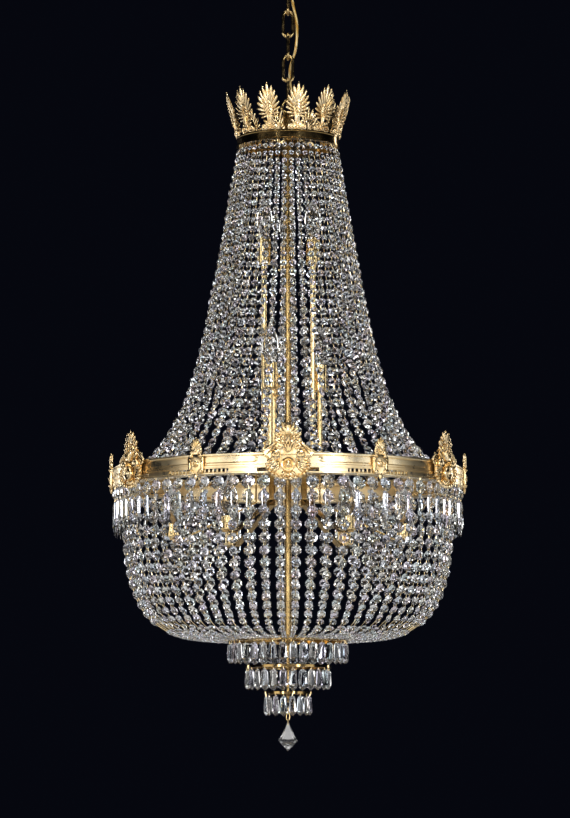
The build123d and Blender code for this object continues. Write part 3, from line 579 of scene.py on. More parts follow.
def modelProngDrop(levels, sides=8, turnEach=0.0):
    # long cut drop that hangs from z = 0: each level is (z, half width, half depth)
    deselectAll()
    firstZ, firstWide, firstDeep = levels[0]
    bpy.ops.mesh.primitive_cylinder_add(vertices=sides, radius=1.0, depth=0.002, location=(0, 0, firstZ))
    model = bpy.context.object
    bpy.ops.object.transform_apply(location=True)
    bpy.ops.object.mode_set(mode="EDIT")
    pickVerts(model, lambda co: True)
    bpy.ops.transform.rotate(value=math.pi / sides, orient_axis="Z", center_override=(0, 0, firstZ))
    bpy.ops.transform.resize(value=(firstWide, firstDeep, 1), center_override=(0, 0, firstZ))
    wide, deep, z = firstWide, firstDeep, firstZ - 0.001
    for nextZ, nextWide, nextDeep in levels[1:]:
        pickFaces(model, lambda c, n: n.z < -0.9 and c.z < z + 0.0005)
        bpy.ops.mesh.extrude_region_move(TRANSFORM_OT_translate={"value": (0, 0, nextZ - z)})
        bpy.ops.transform.resize(value=(nextWide / wide, nextDeep / deep, 1), center_override=(0, 0, nextZ))
        if turnEach:
            bpy.ops.transform.rotate(value=turnEach, orient_axis="Z", center_override=(0, 0, nextZ))
        wide, deep, z = nextWide, nextDeep, nextZ
    if turnEach:
        pickVerts(model, lambda co: True)
        bpy.ops.mesh.quads_convert_to_tris(quad_method="SHORTEST_DIAGONAL")
    bpy.ops.object.mode_set(mode="OBJECT")
    return takeArrays(model)


def modelPin():
    # flat bow-tie link of unit length, wide where it hooks through the glass
    deselectAll()
    bpy.ops.mesh.primitive_cylinder_add(vertices=6, radius=0.5, depth=1.0)
    model = bpy.context.object
    bpy.ops.object.mode_set(mode="EDIT")
    pickVerts(model, lambda co: True)
    bpy.ops.mesh.bisect(plane_co=(0, 0, 0), plane_no=(0, 0, 1))
    pickVerts(model, lambda co: abs(co.z) < 0.01)
    bpy.ops.transform.resize(value=(0.45, 0.6, 1), center_override=(0, 0, 0))
    bpy.ops.object.mode_set(mode="OBJECT")
    return takeArrays(model)


# pale colours given to the clear crystals in turn: painted coloured glints standing in for dispersion fire
crystalFireTints = [(1.0, 1.0, 1.0), (0.90, 0.94, 1.0), (1.0, 0.97, 0.91), (0.94, 0.89, 1.0), (0.90, 0.99, 1.0),
                (1.0, 1.0, 1.0), (0.86, 0.92, 1.0), (1.0, 0.92, 0.97), (1.0, 1.0, 1.0), (0.97, 0.98, 0.90),
                (0.90, 0.90, 1.0)]
octagonModel = modelOctagon(octagonCut)
pinModel = modelPin()


# strands: the same runs of beads as in the CAD

tentSetup = {"count": 48, "topRadius": 0.094, "shoulderRadius": 0.0995, "slope": 0.165, "flare": 0.088,
             "flareHeight": 0.089, "topDrop": 0.012, "firstBead": 0.0122, "lastBead": 0.021, "gap": 0.0042,
             "begin": 0.008, "endMargin": 0.007, "twist": 30, "topSize": 0.80, "lowSize": 0.98}
bagSetup = {"count": 66, "topRadius": 0.319, "depth": 0.294, "power": 3.3, "firstBead": 0.023,
            "lastBead": 0.014, "gap": 0.006, "begin": 0.005, "endMargin": 0.003, "floorBead": 0.0104,
            "floorGap": 0.002, "floorBegin": 0.0025, "floorMargin": 0.001, "floorStart": 0.276, "twist": 20,
            "seat": 0.0003}
strandPin = {"wide": 0.0016, "bite": 0.13}


def placeOn(curve):
    lengths = [0.0]
    for (r0, z0), (r1, z1) in zip(curve, curve[1:]):
        lengths.append(lengths[-1] + math.hypot(r1 - r0, z1 - z0))

    def place(distance):
        i = max(j for j in range(len(lengths) - 1) if lengths[j] <= max(distance, 0))
        share = (distance - lengths[i]) / (lengths[i + 1] - lengths[i])
        (r0, z0), (r1, z1) = curve[i], curve[i + 1]
        return Vector((0, -(r0 + share * (r1 - r0)), z0 + share * (z1 - z0)))

    return place, lengths[-1]


def beadsOn(curve, first, last, gap, begin, endMargin):
    place, total = placeOn(curve)
    spots, distance = [], begin + first / 2
    while True:
        diameter = first + (last - first) * distance / total
        if distance + diameter / 2 + endMargin > total:
            return spots, place(0), place(total)
        spots.append((place(distance), diameter))
        following = first + (last - first) * (distance + diameter) / total
        distance += (diameter + following) / 2 * 0.94 + gap


def tentCurve(tent):
    high = crownLow - plateTop - tent["topDrop"]
    curve = [(tent["topRadius"], crownLow + 0.001)]
    for i in range(121):
        h = high * (1 - i / 120)
        flare = tent["flare"] * math.exp(-h / tent["flareHeight"])
        r = tent["shoulderRadius"] + tent["slope"] * (high - h) + flare
        curve.append((r, plateTop + h))
    return curve + [(curve[-1][0] + 0.003, plateTop - 0.0015)]


def bagCurve(bag):
    inner = bottomRingRadius + bag["seat"]
    curve = [(bag["topRadius"], galleryLow + 0.001)]
    for i in range(161):
        a = math.pi / 2 * i / 160
        t, u = math.sin(a) ** (2 / bag["power"]), math.cos(a) ** (2 / bag["power"])
        curve.append((inner + (bag["topRadius"] - inner) * u, galleryLow - bag["depth"] * t))
    return curve


def beadPlace(centre, direction, diameter, twist):
    # the bead's flat faces look outwards, turned a little about its strand
    down = direction.normalized()
    across = Vector((1, 0, 0))
    outward = across.cross(down).normalized()
    base = Matrix((across, outward, -down)).transposed().to_4x4()
    spin = aboutZ(twist)
    return Matrix.Translation(centre) @ base @ spin @ sized(diameter)


def pinPlace(start, end, wide, twist=0.0):
    run = end - start
    base = run.to_track_quat("Z", "X").to_matrix().to_4x4() @ aboutZ(twist)
    return Matrix.Translation((start + end) / 2) @ base @ Matrix.Diagonal((wide, wide * 0.7, run.length, 1))


def strandPlaces(spots, start, end, chance, swing, pin):
    # places of the beads and pins of one strand, with its own turn of each crystal
    stops = [start] + [centre for centre, _ in spots] + [end]
    beads, pins, lean = [], [], chance.uniform(-swing, swing)
    for (centre, diameter), before, after in zip(spots, stops, stops[2:]):
        lean = 0.6 * lean + chance.uniform(-swing, swing)
        beads.append(beadPlace(centre, after - before, diameter, lean))
    half = [0.0] + [diameter * 0.5 * (1 - 2 * pin["bite"]) for _, diameter in spots] + [0.0]
    for i, (a, b) in enumerate(zip(stops, stops[1:])):
        along = (b - a).normalized()
        high, low = a + along * half[i], b - along * half[i + 1]
        pins.append(pinPlace(high, low, pin["wide"], chance.uniform(0, 90)))
    return beads, pins


def allStrands(count, curveSpots, chance, swing, pin):
    spots, start, end = curveSpots
    beads, pins = [], []
    for i in range(count):
        turn = aboutZ((i + 0.5) * 360.0 / count)
        own, ownPins = strandPlaces(spots, start, end, chance, swing, pin)
        beads.append([turn @ m for m in own])
        pins += [turn @ m for m in ownPins]
    return beads, pins


def joined(groups):
    return [place for group in groups for place in group]


def addTent(tent):
    chance = random.Random(11)
    spots, start, end = beadsOn(tentCurve(tent), tent["firstBead"], tent["lastBead"], tent["gap"],
                                tent["begin"], tent["endMargin"])
    sizes = np.linspace(tent["topSize"], tent["lowSize"], len(spots))
    spots = [(centre, diameter * size) for (centre, diameter), size in zip(spots, sizes)]
    beads, pins = allStrands(tent["count"], (spots, start, end), chance, tent["twist"], strandPin)
    middle = tent["count"] // 2
    for number, half in enumerate((beads[:middle], beads[middle:])):
        piece = stampCopies(f"tentCrystals{number + 1}", [(octagonModel, joined(half))], crystalFireTints)
        finishPiece(piece, "frame", crystal, [f"tent_strands_{number + 1}"])
    print("tent:", len(spots), "crystals a strand")
    return pins


def addBag(bag):
    chance = random.Random(23)
    curve = bagCurve(bag)
    turn = next(i for i, (_, z) in enumerate(curve) if z < galleryLow - bag["floorStart"])
    wall, floor = curve[:turn + 1], curve[turn:]
    wallSpots, start, _ = beadsOn(wall, bag["firstBead"], bag["lastBead"], bag["gap"], bag["begin"],
                                  bag["endMargin"])
    floorSpots, _, end = beadsOn(floor, bag["floorBead"], bag["floorBead"], bag["floorGap"],
                                 bag["floorBegin"], bag["floorMargin"])
    meeting = (wallSpots[-1][0] + floorSpots[0][0]) / 2
    wallRun, floorRun = (wallSpots, start, meeting), (floorSpots, meeting, end)
    wallBeads, wallPins = allStrands(bag["count"], wallRun, chance, bag["twist"], strandPin)
    floorBeads, floorPins = allStrands(bag["count"], floorRun, chance, bag["twist"], strandPin)
    middle = bag["count"] // 2
    for number, half in enumerate((wallBeads[:middle], wallBeads[middle:])):
        piece = stampCopies(f"bagCrystals{number + 1}", [(octagonModel, joined(half))], crystalFireTints)
        finishPiece(piece, "frame", crystal, [f"bag_strands_{number + 1}"])
    piece = stampCopies("bagFloorCrystals", [(octagonModel, joined(floorBeads))], crystalFireTints)
    finishPiece(piece, "frame", crystal, ["bag_floor_strands"])
    print("bag:", len(wallSpots), "wall and", len(floorSpots), "floor crystals a strand")
    return wallPins + floorPins


strandPins = addTent(tentSetup) + addBag(bagSetup)


# fringe and tiers of hanging drops

fringeSetup = {"count": 72, "radius": 0.3366, "octagon": 0.020, "prism": 0.066, "wide": 0.0185,
               "deep": 0.0085, "pin": 0.004, "twist": 14}
tierSetup = {"counts": (36, 26, 16), "wides": (0.0185, 0.0180, 0.0152), "length": 0.041, "deep": 0.0085,
             "pin": 0.004, "bite": 0.002, "twist": 6}


# share of the length, of the width and of the depth at each level of the cut
spearCut = [(0.0, 0.20, 0.30), (-0.04, 0.38, 0.60), (-0.10, 0.44, 0.80), (-0.52, 0.50, 0.90),
            (-0.67, 1.0, 1.0), (-1.0, 0.05, 0.10)]
tierCut = [(0.0, 0.24, 0.35), (-0.05, 0.60, 0.70), (-0.13, 0.74, 0.90), (-0.82, 1.0, 1.0),
           (-1.0, 0.06, 0.12)]


def prismModel(length, wide, deep, levels):
    # wider by this share, so that eight flat sides reach the drop's full width
    cut = 1.0 / math.cos(math.pi / 8)
    return modelProngDrop([(z * length, w * wide / 2 * cut, d * deep / 2 * cut) for z, w, d in levels])


def hungAt(radius, z, twist):
    return Matrix.Translation((0, -radius, z)) @ aboutZ(twist)


def addFringe(fringe):
    chance = random.Random(5)
    size, pin = fringe["octagon"], fringe["pin"]
    octagonZ = galleryLow - pin - size / 2
    prismTop = octagonZ - size / 2 - pin
    prism = prismModel(fringe["prism"], fringe["wide"], fringe["deep"], spearCut)
    octagons, prisms, pins = [], [], []
    for i in range(fringe["count"]):
        turn = aboutZ((i + 0.5) * 360.0 / fringe["count"])
        lean, swing = chance.uniform(-1, 1) * fringe["twist"], chance.uniform(-1, 1) * fringe["twist"]
        octagons.append(turn @ hungAt(fringe["radius"], octagonZ, lean) @ sized(size))
        prisms.append(turn @ hungAt(fringe["radius"], prismTop, swing))
        for high, low in ((galleryLow, octagonZ + 0.42 * size), (octagonZ - 0.42 * size, prismTop - 0.002)):
            a, b = Vector((0, -fringe["radius"], high)), Vector((0, -fringe["radius"], low))
            pins.append(turn @ pinPlace(a, b, strandPin["wide"], lean))
    piece = stampCopies("fringeCrystals", [(octagonModel, octagons), (prism, prisms)], crystalFireTints)
    finishPiece(piece, "frame", crystal, ["fringe_drops"])
    return pins


def addTiers(tiers):
    chance = random.Random(8)
    hangers = [(bottomRingLow, bottomRingRadius - 0.005)]
    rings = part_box("tier_rings")
    hangers.append((rings[1].z - 0.0045, rings[1].x - 0.0045))
    hangers.append((rings[0].z, 0.043))
    pins = []
    for number, ((z, radius), count, wide) in enumerate(zip(hangers, tiers["counts"], tiers["wides"])):
        drop = prismModel(tiers["length"] - tiers["pin"], wide, tiers["deep"], tierCut)
        places = []
        for i in range(count):
            turn = aboutZ((i + 0.5) * 360.0 / count)
            lean = chance.uniform(-1, 1) * tiers["twist"]
            places.append(turn @ hungAt(radius, z - tiers["pin"], lean))
            top, foot = Vector((0, -radius, z)), Vector((0, -radius, z - tiers["pin"] - tiers["bite"]))
            pins.append(turn @ pinPlace(top, foot, strandPin["wide"], lean))
        piece = stampCopies(f"tierCrystals{number + 1}", [(drop, places)], crystalFireTints)
        finishPiece(piece, "frame", crystal, [f"tier_{number + 1}_drops"])
    return pins


strandPins += addFringe(fringeSetup)
strandPins += addTiers(tierSetup)
half = len(strandPins) // 2
for number, group in enumerate((strandPins[:half], strandPins[half:])):
    pinPiece = stampCopies(f"crystalPins{number + 1}", [(pinModel, group)])
    finishPiece(pinPiece, "frame", pinBrass)
print("crystals and", len(strandPins), "pins placed")


# large bottom drop

bottomDrop = {"top": 0.12, "crown": 0.52, "crownAt": 0.32, "girdleAt": 0.63, "foot": 0.54, "footAt": 0.82,
              "tip": 0.04, "sides": 12}


def addBottomDrop(drop):
    # modelled round, every level turned half a step, then brought to the CAD drop's width and depth
    low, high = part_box("bottom_drop")
    tall = high.z - low.z
    levels = [(0.0, drop["top"]), (drop["crownAt"], drop["crown"]), (drop["girdleAt"], 1.0),
              (drop["footAt"], drop["foot"]), (1.0, drop["tip"])]
    points, faces = modelProngDrop([(-share * tall, w, w) for share, w in levels], sides=drop["sides"],
                                   turnEach=math.pi / drop["sides"])
    reach = points.max(axis=0)
    points = points * np.array([high.x / reach[0], high.y / reach[1], 1])
    place = Matrix.Translation((0, 0, high.z - 0.001))
    piece = stampCopies("bottomCrystal", [((points, faces), [place])], crystalFireTints)
    finishPiece(piece, "bottom_drop", crystal, ["bottom_drop"])


addBottomDrop(bottomDrop)


# cast leaves shared by the palmettes, cartouches and finials

def modelLobe(groove=0.35):
    # one leaf lobe: unit long from its root at the origin up +Z, unit wide, relief towards -Y
    deselectAll()
    bpy.ops.mesh.primitive_uv_sphere_add(segments=10, ring_count=8, radius=0.5, location=(0, 0, 0.5))
    model = bpy.context.object
    bpy.ops.object.transform_apply(location=True)
    bpy.ops.object.mode_set(mode="EDIT")
    pickVerts(model, lambda co: co.z < 0.62)
    bpy.ops.transform.resize(value=(0.80, 0.80, 1), center_override=(0, 0, 0.5))
    pickVerts(model, lambda co: co.z < 0.35)
    bpy.ops.transform.resize(value=(0.70, 0.75, 1), center_override=(0, 0, 0.5))
    pickVerts(model, lambda co: abs(co.x) < 0.05 and co.y < -0.1)
    bpy.ops.transform.resize(value=(1, 1 - groove, 1), center_override=(0, 0, 0.5))
    bpy.ops.object.mode_set(mode="OBJECT")
    return takeArrays(model)


lobeModel = modelLobe()


def lobePlace(root, tip, wide, deep, front=0.0, tilt=0.0):
    # from root to tip in the casting's own plane, millimetres
    (x0, z0), (x1, z1) = root, tip
    length = math.hypot(x1 - x0, z1 - z0)
    lean = math.atan2(x1 - x0, z1 - z0)
    return (Matrix.Translation((x0 / 1000, -front / 1000, z0 / 1000)) @ Matrix.Rotation(lean, 4, "Y")
            @ Matrix.Rotation(math.radians(tilt), 4, "X")
            @ Matrix.Diagonal((wide / 1000, deep / 1000, length / 1000, 1)))


def modelBoss(profile, steps=20):
    # turned boss about -Y from (radius, height) points in millimetres
    points = [(r / 1000, -h / 1000, 0) for r, h in profile]
    model = newObject("boss", points, [(i, i + 1) for i in range(len(points) - 1)], [])
    editObject(model)
    spinAll((0, 1, 0), steps)
    return takeArrays(model)


def modelVolute(radius, wire, turns=1.6, steps=30):
    # flat spiral that thickens towards its outer end
    path, widths = [], []
    for i in range(steps + 1):
        share = i / steps
        angle = 2 * math.pi * turns * share
        reach = radius * (0.12 + 0.88 * share)
        path.append(Vector((reach * math.cos(angle), 0, reach * math.sin(angle))) / 1000)
        widths.append(wire * (0.55 + 0.45 * share) / 1000)
    verts, faces, sides = [], [], 8
    for i, centre in enumerate(path):
        ahead = path[min(i + 1, steps)] - path[max(i - 1, 0)]
        side = ahead.normalized().cross(Vector((0, 1, 0)))
        for k in range(sides):
            a = 2 * math.pi * k / sides
            verts.append(tuple(centre + widths[i] * (math.cos(a) * side - math.sin(a) * Vector((0, 1, 0)))))
    for i in range(steps):
        for k in range(sides):
            a, b = i * sides + k, i * sides + (k + 1) % sides
            faces.append((a, b, b + sides, a + sides))
    faces += [tuple(reversed(range(sides))), tuple(range(steps * sides, (steps + 1) * sides))]
    model = newObject("volute", verts, [], faces)
    editObject(model)
    turnOutwards()
    return takeArrays(model)


def modelPlate(outline, depth, bevel=0.6):
    # flat casting from an outline in its own plane, its front edge softened
    points = [(x / 1000, 0, z / 1000) for x, z in outline]
    model = newObject("plate", points, [], [tuple(range(len(outline)))])
    editObject(model)
    bpy.ops.mesh.extrude_region_move(TRANSFORM_OT_translate={"value": (0, -depth / 1000, 0)})
    turnOutwards()
    softenEdges(model, bevel / 1000)
    return takeArrays(model)


def at(x, z, front=0.0, turn=0.0):
    place = Matrix.Translation((x / 1000, -front / 1000, z / 1000))
    return place @ Matrix.Rotation(math.radians(turn), 4, "Y")


def bothSides(half):
    # outline from its left half, without doubling a point on the middle line
    return half + [(-x, z) for x, z in reversed(half) if x]


def fanned(half):
    # (swing, reach, width) of the leaves on both sides, from the middle one and those to its right
    return [(-swing, reach, wide) for swing, reach, wide in reversed(half) if swing] + list(half)


def onEllipse(centre, reach, degrees):
    # a point on an ellipse, degrees from straight up towards the right
    a = math.radians(degrees)
    return centre[0] + reach[0] * math.sin(a), centre[1] + reach[1] * math.cos(a)


def mirrorParts(arrays):
    # the same shape for the other side, with its faces still outwards
    points, faces = arrays
    return points * np.array([-1, 1, 1]), [tuple(reversed(face)) for face in faces]


# crown palmettes

palmetteSetup = {
    "count": 12, "first": 10.0, "lean": 15.0, "radius": 0.09875,
    # root and tip of each lobe on one side, from the top down, and its width
    "lobes": [((1.6, 52), (9.5, 86), 6.6), ((3.2, 48), (16, 77), 6.6), ((4.6, 44), (20.5, 66), 6.4),
              ((6.0, 40), (23.5, 54.5), 6.2), ((6.6, 36), (24.0, 43), 5.8), ((6.0, 31), (22.0, 32.5), 5.2),
              ((4.6, 27), (17.5, 24), 4.6)],
    "chevrons": (30, 36, 42, 48),
}


def palmetteParts(setup):
    lobes = [lobePlace((0, 54), (0, 93), 7.4, 5.6, 0.8)]
    for root, tip, wide in setup["lobes"]:
        for side in (-1, 1):
            lobes.append(lobePlace((side * root[0], root[1]), (side * tip[0], tip[1]), wide, 5.0, 0.4, 2.0))
    calyx = modelPlate(bothSides([(0, 62), (-9, 44), (-7, 32), (-4.5, 22), (-4.2, 12)]), 3.0, 0.9)
    for z in setup["chevrons"]:
        half = 8.0 - abs(z - 42) * 0.22
        for side in (-1, 1):
            lobes.append(lobePlace((0, z + 7), (side * half, z - 2), 2.4, 2.8, 2.6))
    lobes.append(lobePlace((0, 14), (0, 34), 2.6, 3.2, 2.6))
    for side in (-1, 1):
        lobes.append(lobePlace((side * 2, 12), (side * 13, 19), 5.0, 4.5, 1.2))
    foot = modelPlate(bothSides([(-17, -1), (-19, 5), (-14, 11), (-6, 14)]), 2.2, 0.7)
    volute = modelVolute(7.2, 1.6)
    knob = modelBoss([(0, 3.4), (1.8, 3.0), (2.8, 1.6), (3.0, 0)])
    return [(lobeModel, lobes), (calyx, [at(0, 0, -0.8)]), (foot, [at(0, 0, -1.0)]),
            (volute, [at(-11, 7, 1.8, 200)]), (mirrorParts(volute), [at(11, 7, 1.8, -200)]),
            (knob, [at(0, 12, 1.2), at(0, 4, 1.2)])]


def addPalmettes(setup):
    lean = (Matrix.Translation((0, -setup["radius"], crownTop))
            @ Matrix.Rotation(math.radians(setup["lean"]), 4, "X"))
    parts = [(arrays, roundTheAxis([lean @ place for place in places], setup["count"], setup["first"]))
             for arrays, places in palmetteParts(setup)]
    piece = stampCopies("crownPalmettes", parts)
    finishPiece(piece, "frame", gilt, ["crown_palmettes"], smooth=40)


addPalmettes(palmetteSetup)
print("palmettes cast")


# cartouches on the main ring

ornamentBack = 0.3409
cartoucheSetup = {"count": 6, "first": 0}


def cartoucheParts():
    # millimetres from the ring plate's level, 98 wide and 106 tall
    crestRoot, bossAt = (0, 33), (0, -22)
    wings = modelPlate([(-47, 4), (-47, -1), (-38, -8), (-38, -24), (-32, -36), (-20, -44), (0, -48),
                        (20, -44), (32, -36), (38, -24), (38, -8), (47, -1), (47, 4), (26, 22), (-26, 22)],
                       2.6, 0.9)
    crest = modelPlate(bothSides([(-20, -4), (-22, 22), (-18, 32), (-15, 42), (-8, 48), (0, 50)]), 5.0, 1.5)
    lobes = []
    for swing, reach, wide in fanned([(0, 27, 9), (27, 26, 8), (54, 24, 7.5), (78, 21, 7)]):
        tip = onEllipse(crestRoot, (reach, reach), swing)
        lobes.append(lobePlace(onEllipse(crestRoot, (3, 0), swing), tip, wide, 7, 5))
    for side in (-1, 1):
        for i in range(5):   # acanthus beside the boss
            root = (side * 15, bossAt[1])
            lobes.append(lobePlace(root, onEllipse(root, (24, 19), side * (48 + 24 * i)), 8.5, 7, 3.5))
        for i in range(3):   # leaf edge up the crest
            lobes.append(lobePlace((side * 13, 6 + 10 * i), (side * 25, 16 + 11 * i), 8, 7, 4))
        lobes.append(lobePlace((side * 48, 1), (side * 22, 21), 6, 6, 2.6))
        lobes.append(lobePlace((side * 41, -3), (side * 22, 12), 4, 5, 3.2))
        lobes.append(lobePlace((side * 47, -3), (side * 35, -10), 5, 5, 2.4))
        lobes.append(lobePlace((side * 36, -8), (side * 37, -24), 5, 5, 2.8))
    for swing in (-150, -165, 180, 165, 150):   # leaves under the boss
        lobes.append(lobePlace(onEllipse(bossAt, (13, 13), swing), onEllipse(bossAt, (26, 24), swing),
                               6.5, 7, 4.5))
    for swing in (-32, -16, 0, 16, 32):   # fluted shell
        lobes.append(lobePlace(onEllipse((0, 0), (2.5, 0), swing), onEllipse((0, 0), (24, 22), swing),
                               5.2, 6.5, 6.5))
    for i in range(15):   # curved lower rim, a run of overlapping beads
        ends = [onEllipse(bossAt, (39, -26), -98 + 14 * k) for k in (i, i + 1)]
        lobes.append(lobePlace(*ends, 8.4, 8, 5.0))
    boss = modelBoss([(0, 11.5), (2.2, 11.2), (3.6, 10.0), (4.2, 8.6), (5.2, 8.2), (6.4, 9.4), (7.6, 8.4),
                      (8.6, 7.6), (10.4, 9.6), (12.4, 9.2), (13.4, 7.0), (13.6, 0)], 28)
    rosette = modelBoss([(0, 9.6), (2.0, 9.2), (3.0, 7.8), (4.2, 7.2), (6.2, 8.4), (8.2, 7.6), (9.2, 5.0),
                         (9.4, 0)], 20)
    curl = modelVolute(7.6, 2.0)
    scroll = modelVolute(11.0, 2.2, 1.5)
    return [(wings, [at(0, 0)]), (crest, [at(0, 0)]), (lobeModel, lobes), (boss, [at(*bossAt, 3.5)]),
            (rosette, [at(-23, -5, 1.5), at(23, -5, 1.5)]), (curl, [at(-9.5, 26, 7.0, 150)]),
            (mirrorParts(curl), [at(9.5, 26, 7.0, -150)]), (scroll, [at(-29, -22, 5.5, 30)]),
            (mirrorParts(scroll), [at(29, -22, 5.5, -30)])]


def addOrnaments(name, node, parts, setup):
    seat = Matrix.Translation((0, -ornamentBack, plateTop))
    for i in range(setup["count"]):
        turn = aboutZ(setup["first"] + i * 360.0 / setup["count"])
        placed = [(arrays, [turn @ seat @ place for place in places]) for arrays, places in parts]
        piece = stampCopies(f"{name}{i + 1}", placed)
        finishPiece(piece, "frame", gilt, [f"{node}_{i + 1}"], smooth=40)


addOrnaments("cartouche", "ring_cartouche", cartoucheParts(), cartoucheSetup)


# small finials between them

finialSetup = {"count": 6, "first": 30}


def finialParts():
    block = modelPlate([(-16, -30), (-16.5, -4), (-12, 2), (12, 2), (16.5, -4), (16, -30), (10, -36),
                        (-10, -36)], 4.5, 1.2)
    stalk = modelPlate(bothSides([(-10, 0), (-12, 12), (-7, 26), (0, 33)]), 4.0, 1.2)
    lobes = []
    for swing, reach, wide in fanned([(0, 24, 7), (16, 21, 6.5), (40, 17, 6.5), (66, 13, 6)]):
        lobes.append(lobePlace((0, 10), onEllipse((0, 10), (reach, reach), swing), wide, 6, 4))
    for side in (-1, 1):
        lobes.append(lobePlace((side * 3, -36), (side * 15, -26), 6, 6, 3.5))
        lobes.append(lobePlace((side * 4, 2), (side * 14, 8), 6, 6, 3.5))
        lobes.append(lobePlace((side * 12.5, -30), (side * 12.5, -6), 5, 6, 3.5))
    lobes.append(lobePlace((0, -32), (0, -46), 8, 6, 3))
    boss = modelBoss([(0, 9.5), (1.8, 9.0), (2.8, 7.6), (4.2, 7.0), (5.8, 8.2), (7.2, 6.8), (7.6, 0)], 20)
    pearl = modelBoss([(0, 8.0), (2.0, 7.6), (3.6, 6.2), (4.4, 4.0), (4.4, 0)], 14)
    return [(block, [at(0, 0)]), (stalk, [at(0, 0)]), (lobeModel, lobes), (boss, [at(0, -16)]),
            (pearl, [at(0, 9), at(-10, -31), at(10, -31), at(-10, -1), at(10, -1)])]


addOrnaments("finial", "ring_finial", finialParts(), finialSetup)
print("cartouches and finials cast")


# frieze panels and the pierced gallery under them

friezeSetup = {"face": 0.338, "panelFrom": 9.4, "panelTo": 26.6, "rise": 0.0022, "high": 0.0135,
               "lift": 0.001, "roundEnd": 0.8, "sink": 0.0003, "slices": 26}
gallerySetup = {"wall": 0.3365, "face": 0.3395, "flangeIn": 0.306, "flangeOut": 0.3404, "dentShort": 0.0040,
                "plateShort": 0.0032, "plateSlices": 14, "plateFrom": 9.8, "plateTo": 19.0, "dentFrom": 20.0,
                "dentTo": 27.2, "dents": 5, "dentWide": 0.0030, "dentEdge": 0.0007, "plateRise": 0.0012}


panelRows = (0.0, 0.12, 0.5, 0.88, 1.0)   # shares of the panel's height
capSteps = 8
panelBack = 0.0015


def wrapToRing(points, radius, middle):
    # flat shape (x along, -y out, z up) bent round the ring at an azimuth
    azimuth = middle + points[:, 0] / radius
    reach = radius - points[:, 1]
    return np.stack([reach * np.sin(azimuth), -reach * np.cos(azimuth), points[:, 2]], axis=1)


def modelPanel(length, high, rise, slices, roundEnd=0.0):
    # long raised panel; roundEnd rounds the end that faces the cartouche
    lower = [(-length / 2 + length * i / slices, -high / 2) for i in range(slices + 1)]
    cap = []
    if roundEnd:
        lower = [p for p in lower if p[0] > -length / 2 + roundEnd]
        for i in reversed(range(1, capSteps)):
            a = math.pi * i / capSteps
            cap.append((-length / 2 + roundEnd - roundEnd * math.sin(a), -high / 2 * math.cos(a)))
    # rows of quads across the panel keep it smooth once it is bent
    points, faces = [], []
    for x, _ in lower:
        for share in panelRows:
            depth = rise if 0.1 < share < 0.9 else 0.0
            points.append((x, -depth * (1.15 if share == 0.5 else 1.0), high * (share - 0.5)))
    for i in range(len(lower) - 1):
        for k in range(len(panelRows) - 1):
            a = i * len(panelRows) + k
            faces.append((a, a + len(panelRows), a + len(panelRows) + 1, a + 1))
    if cap:   # rounded end as a fan of quads to the first column
        base, n = len(points), len(cap)
        points += [(x, 0.0, z) for x, z in cap]
        points += [(x + (lower[0][0] - x) * 0.35, -rise, z * 0.72) for x, z in cap]
        for i in range(n - 1):
            faces.append((base + i, base + n + i, base + n + i + 1, base + i + 1))
        faces.append((4, 3, base + n, base))
        faces.append((base + n - 1, base + 2 * n - 1, 1, 0))
        faces.append(tuple([3, 2, 1] + [base + n + i for i in reversed(range(n))]))
    model = newObject("panel", points, [], faces)
    editObject(model)
    bpy.ops.mesh.normals_make_consistent(inside=False)
    bpy.ops.mesh.extrude_region_move(TRANSFORM_OT_translate={"value": (0, panelBack, 0)})
    turnOutwards()
    return takeArrays(model)


def addFriezePanels(setup):
    length = math.radians(setup["panelTo"] - setup["panelFrom"]) * setup["face"]
    middle = math.radians((setup["panelFrom"] + setup["panelTo"]) / 2)
    height = (friezeLow + friezeTop) / 2 + setup["lift"]
    points, faces = modelPanel(length, setup["high"], setup["rise"], setup["slices"],
                               roundEnd=setup["high"] * setup["roundEnd"])
    points = points + np.array([0, -setup["sink"], height])
    left = wrapToRing(points, setup["face"], middle)
    right = wrapToRing(points * np.array([-1, 1, 1]), setup["face"], -middle)
    parts = [((left, faces), roundTheAxis([Matrix.Identity(4)], 6)),
             ((right, [tuple(reversed(f)) for f in faces]), roundTheAxis([Matrix.Identity(4)], 6))]
    piece = stampCopies("friezePanels", parts)
    finishPiece(piece, "frame", satinBrass, smooth=30)


def ringOfRevolution(profile, steps=180):
    count = len(profile)
    edges = [(i, (i + 1) % count) for i in range(count)]
    model = newObject("ring", [(r, 0, z) for r, z in profile], edges, [])
    editObject(model)
    spinAll((0, 0, 1), steps)
    return takeArrays(model)


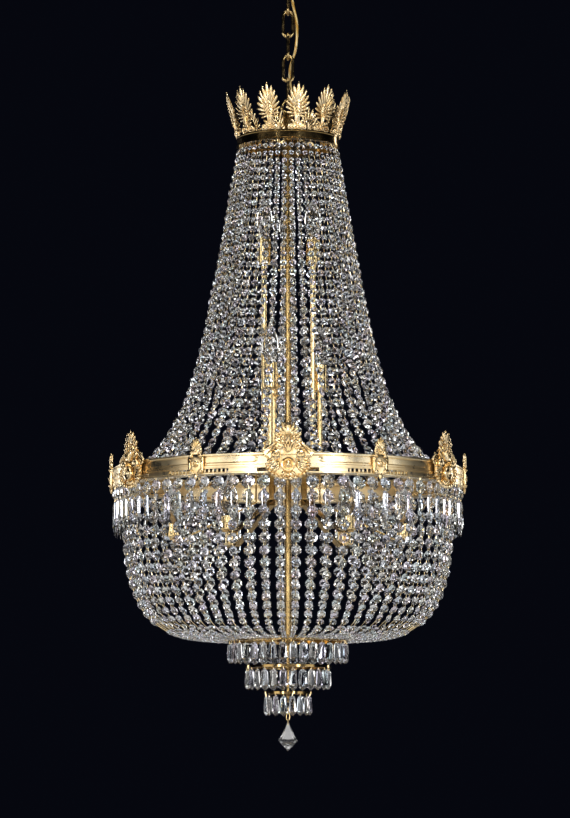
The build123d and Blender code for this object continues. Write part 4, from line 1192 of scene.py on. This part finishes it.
def addGallery(setup):
    low, high, wall, face = galleryLow, galleryTop, setup["wall"], setup["face"]
    inner, outer = setup["flangeIn"], setup["flangeOut"]
    flange = ringOfRevolution([(inner, low), (outer, low), (outer, low + 0.0016), (face, low + 0.0025),
                               (inner, low + 0.0025)])
    lip = ringOfRevolution([(wall, high - 0.0022), (face + 0.0004, high - 0.0022),
                            (face + 0.0004, high - 0.0006), (face, high), (wall, high)])
    here = Matrix.Identity(4)
    parts = [(flange, [here]), (lip, [here])]
    deselectAll()
    bpy.ops.mesh.primitive_cube_add(size=1, location=(0, 0, 0))
    dent = bpy.context.object
    dent.scale = (setup["dentWide"], face - wall, high - low - setup["dentShort"])
    bpy.ops.object.transform_apply(scale=True)
    softenEdges(dent, setup["dentEdge"])
    dentArrays = takeArrays(dent)
    places = []
    middleZ = (low + high) / 2
    for corner in range(6):
        for side in (-1, 1):
            for i in range(setup["dents"] + 1):
                azimuth = setup["dentFrom"] + (setup["dentTo"] - setup["dentFrom"]) * i / setup["dents"]
                turn = aboutZ(60 * corner + side * azimuth)
                places.append(turn @ Matrix.Translation((0, -(wall + face) / 2, middleZ)))
    parts.append((dentArrays, places))
    length = math.radians(setup["plateTo"] - setup["plateFrom"]) * face
    points, faces = modelPanel(length, high - low - setup["plateShort"], setup["plateRise"],
                               setup["plateSlices"])
    points = points + np.array([0, 0, middleZ])
    for side in (-1, 1):
        middle = math.radians(side * (setup["plateFrom"] + setup["plateTo"]) / 2)
        parts.append(((wrapToRing(points, face, middle), faces), roundTheAxis([here], 6)))
    piece = stampCopies("pierced_gallery", parts)
    finishPiece(piece, "frame", satinBrass, ["ring_gallery"], smooth=30)


addFriezePanels(friezeSetup)
addGallery(gallerySetup)
print("frieze and gallery built")


# finishes of the CAD pieces that show as they are

nodePaint = [
    (mirrorBrass, ["canopy_cup", "canopy_collar", "lamp_stems", "drop_chain", "drop_bail", "candle_sleeves"]),
    (satinBrass, ["main_ring_plate", "ring_frieze"]),
    (chainBrass, ["ceiling_hook", "top_loop"] + [f"chain_link_{i}" for i in range(1, 6)]),
    # these parts get the darker copy of the brass, painted shade
    (shadedBrass, ["crown_band", "stem_tube", "stem_nuts", "drop_rod", "crown_spider", "ring_spider",
                  "lower_lamp_arms", "bottom_ring", "tier_rings"]),
    (zincSteel, ["ceiling_bracket", "hook_nut", "ornament_screws"]),
    (holderBlack, ["lamp_holders"]),
    (lampGlass, ["candle_bulbs"]),
    (terminalWhite, ["terminal_block"]),
]


def paintNodes(paints):
    for material, names in paints:
        for name in names:
            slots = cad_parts[name].data.materials
            slots.clear()
            slots.append(material)


paintNodes(nodePaint)
print("CAD pieces painted")

deselectAll()
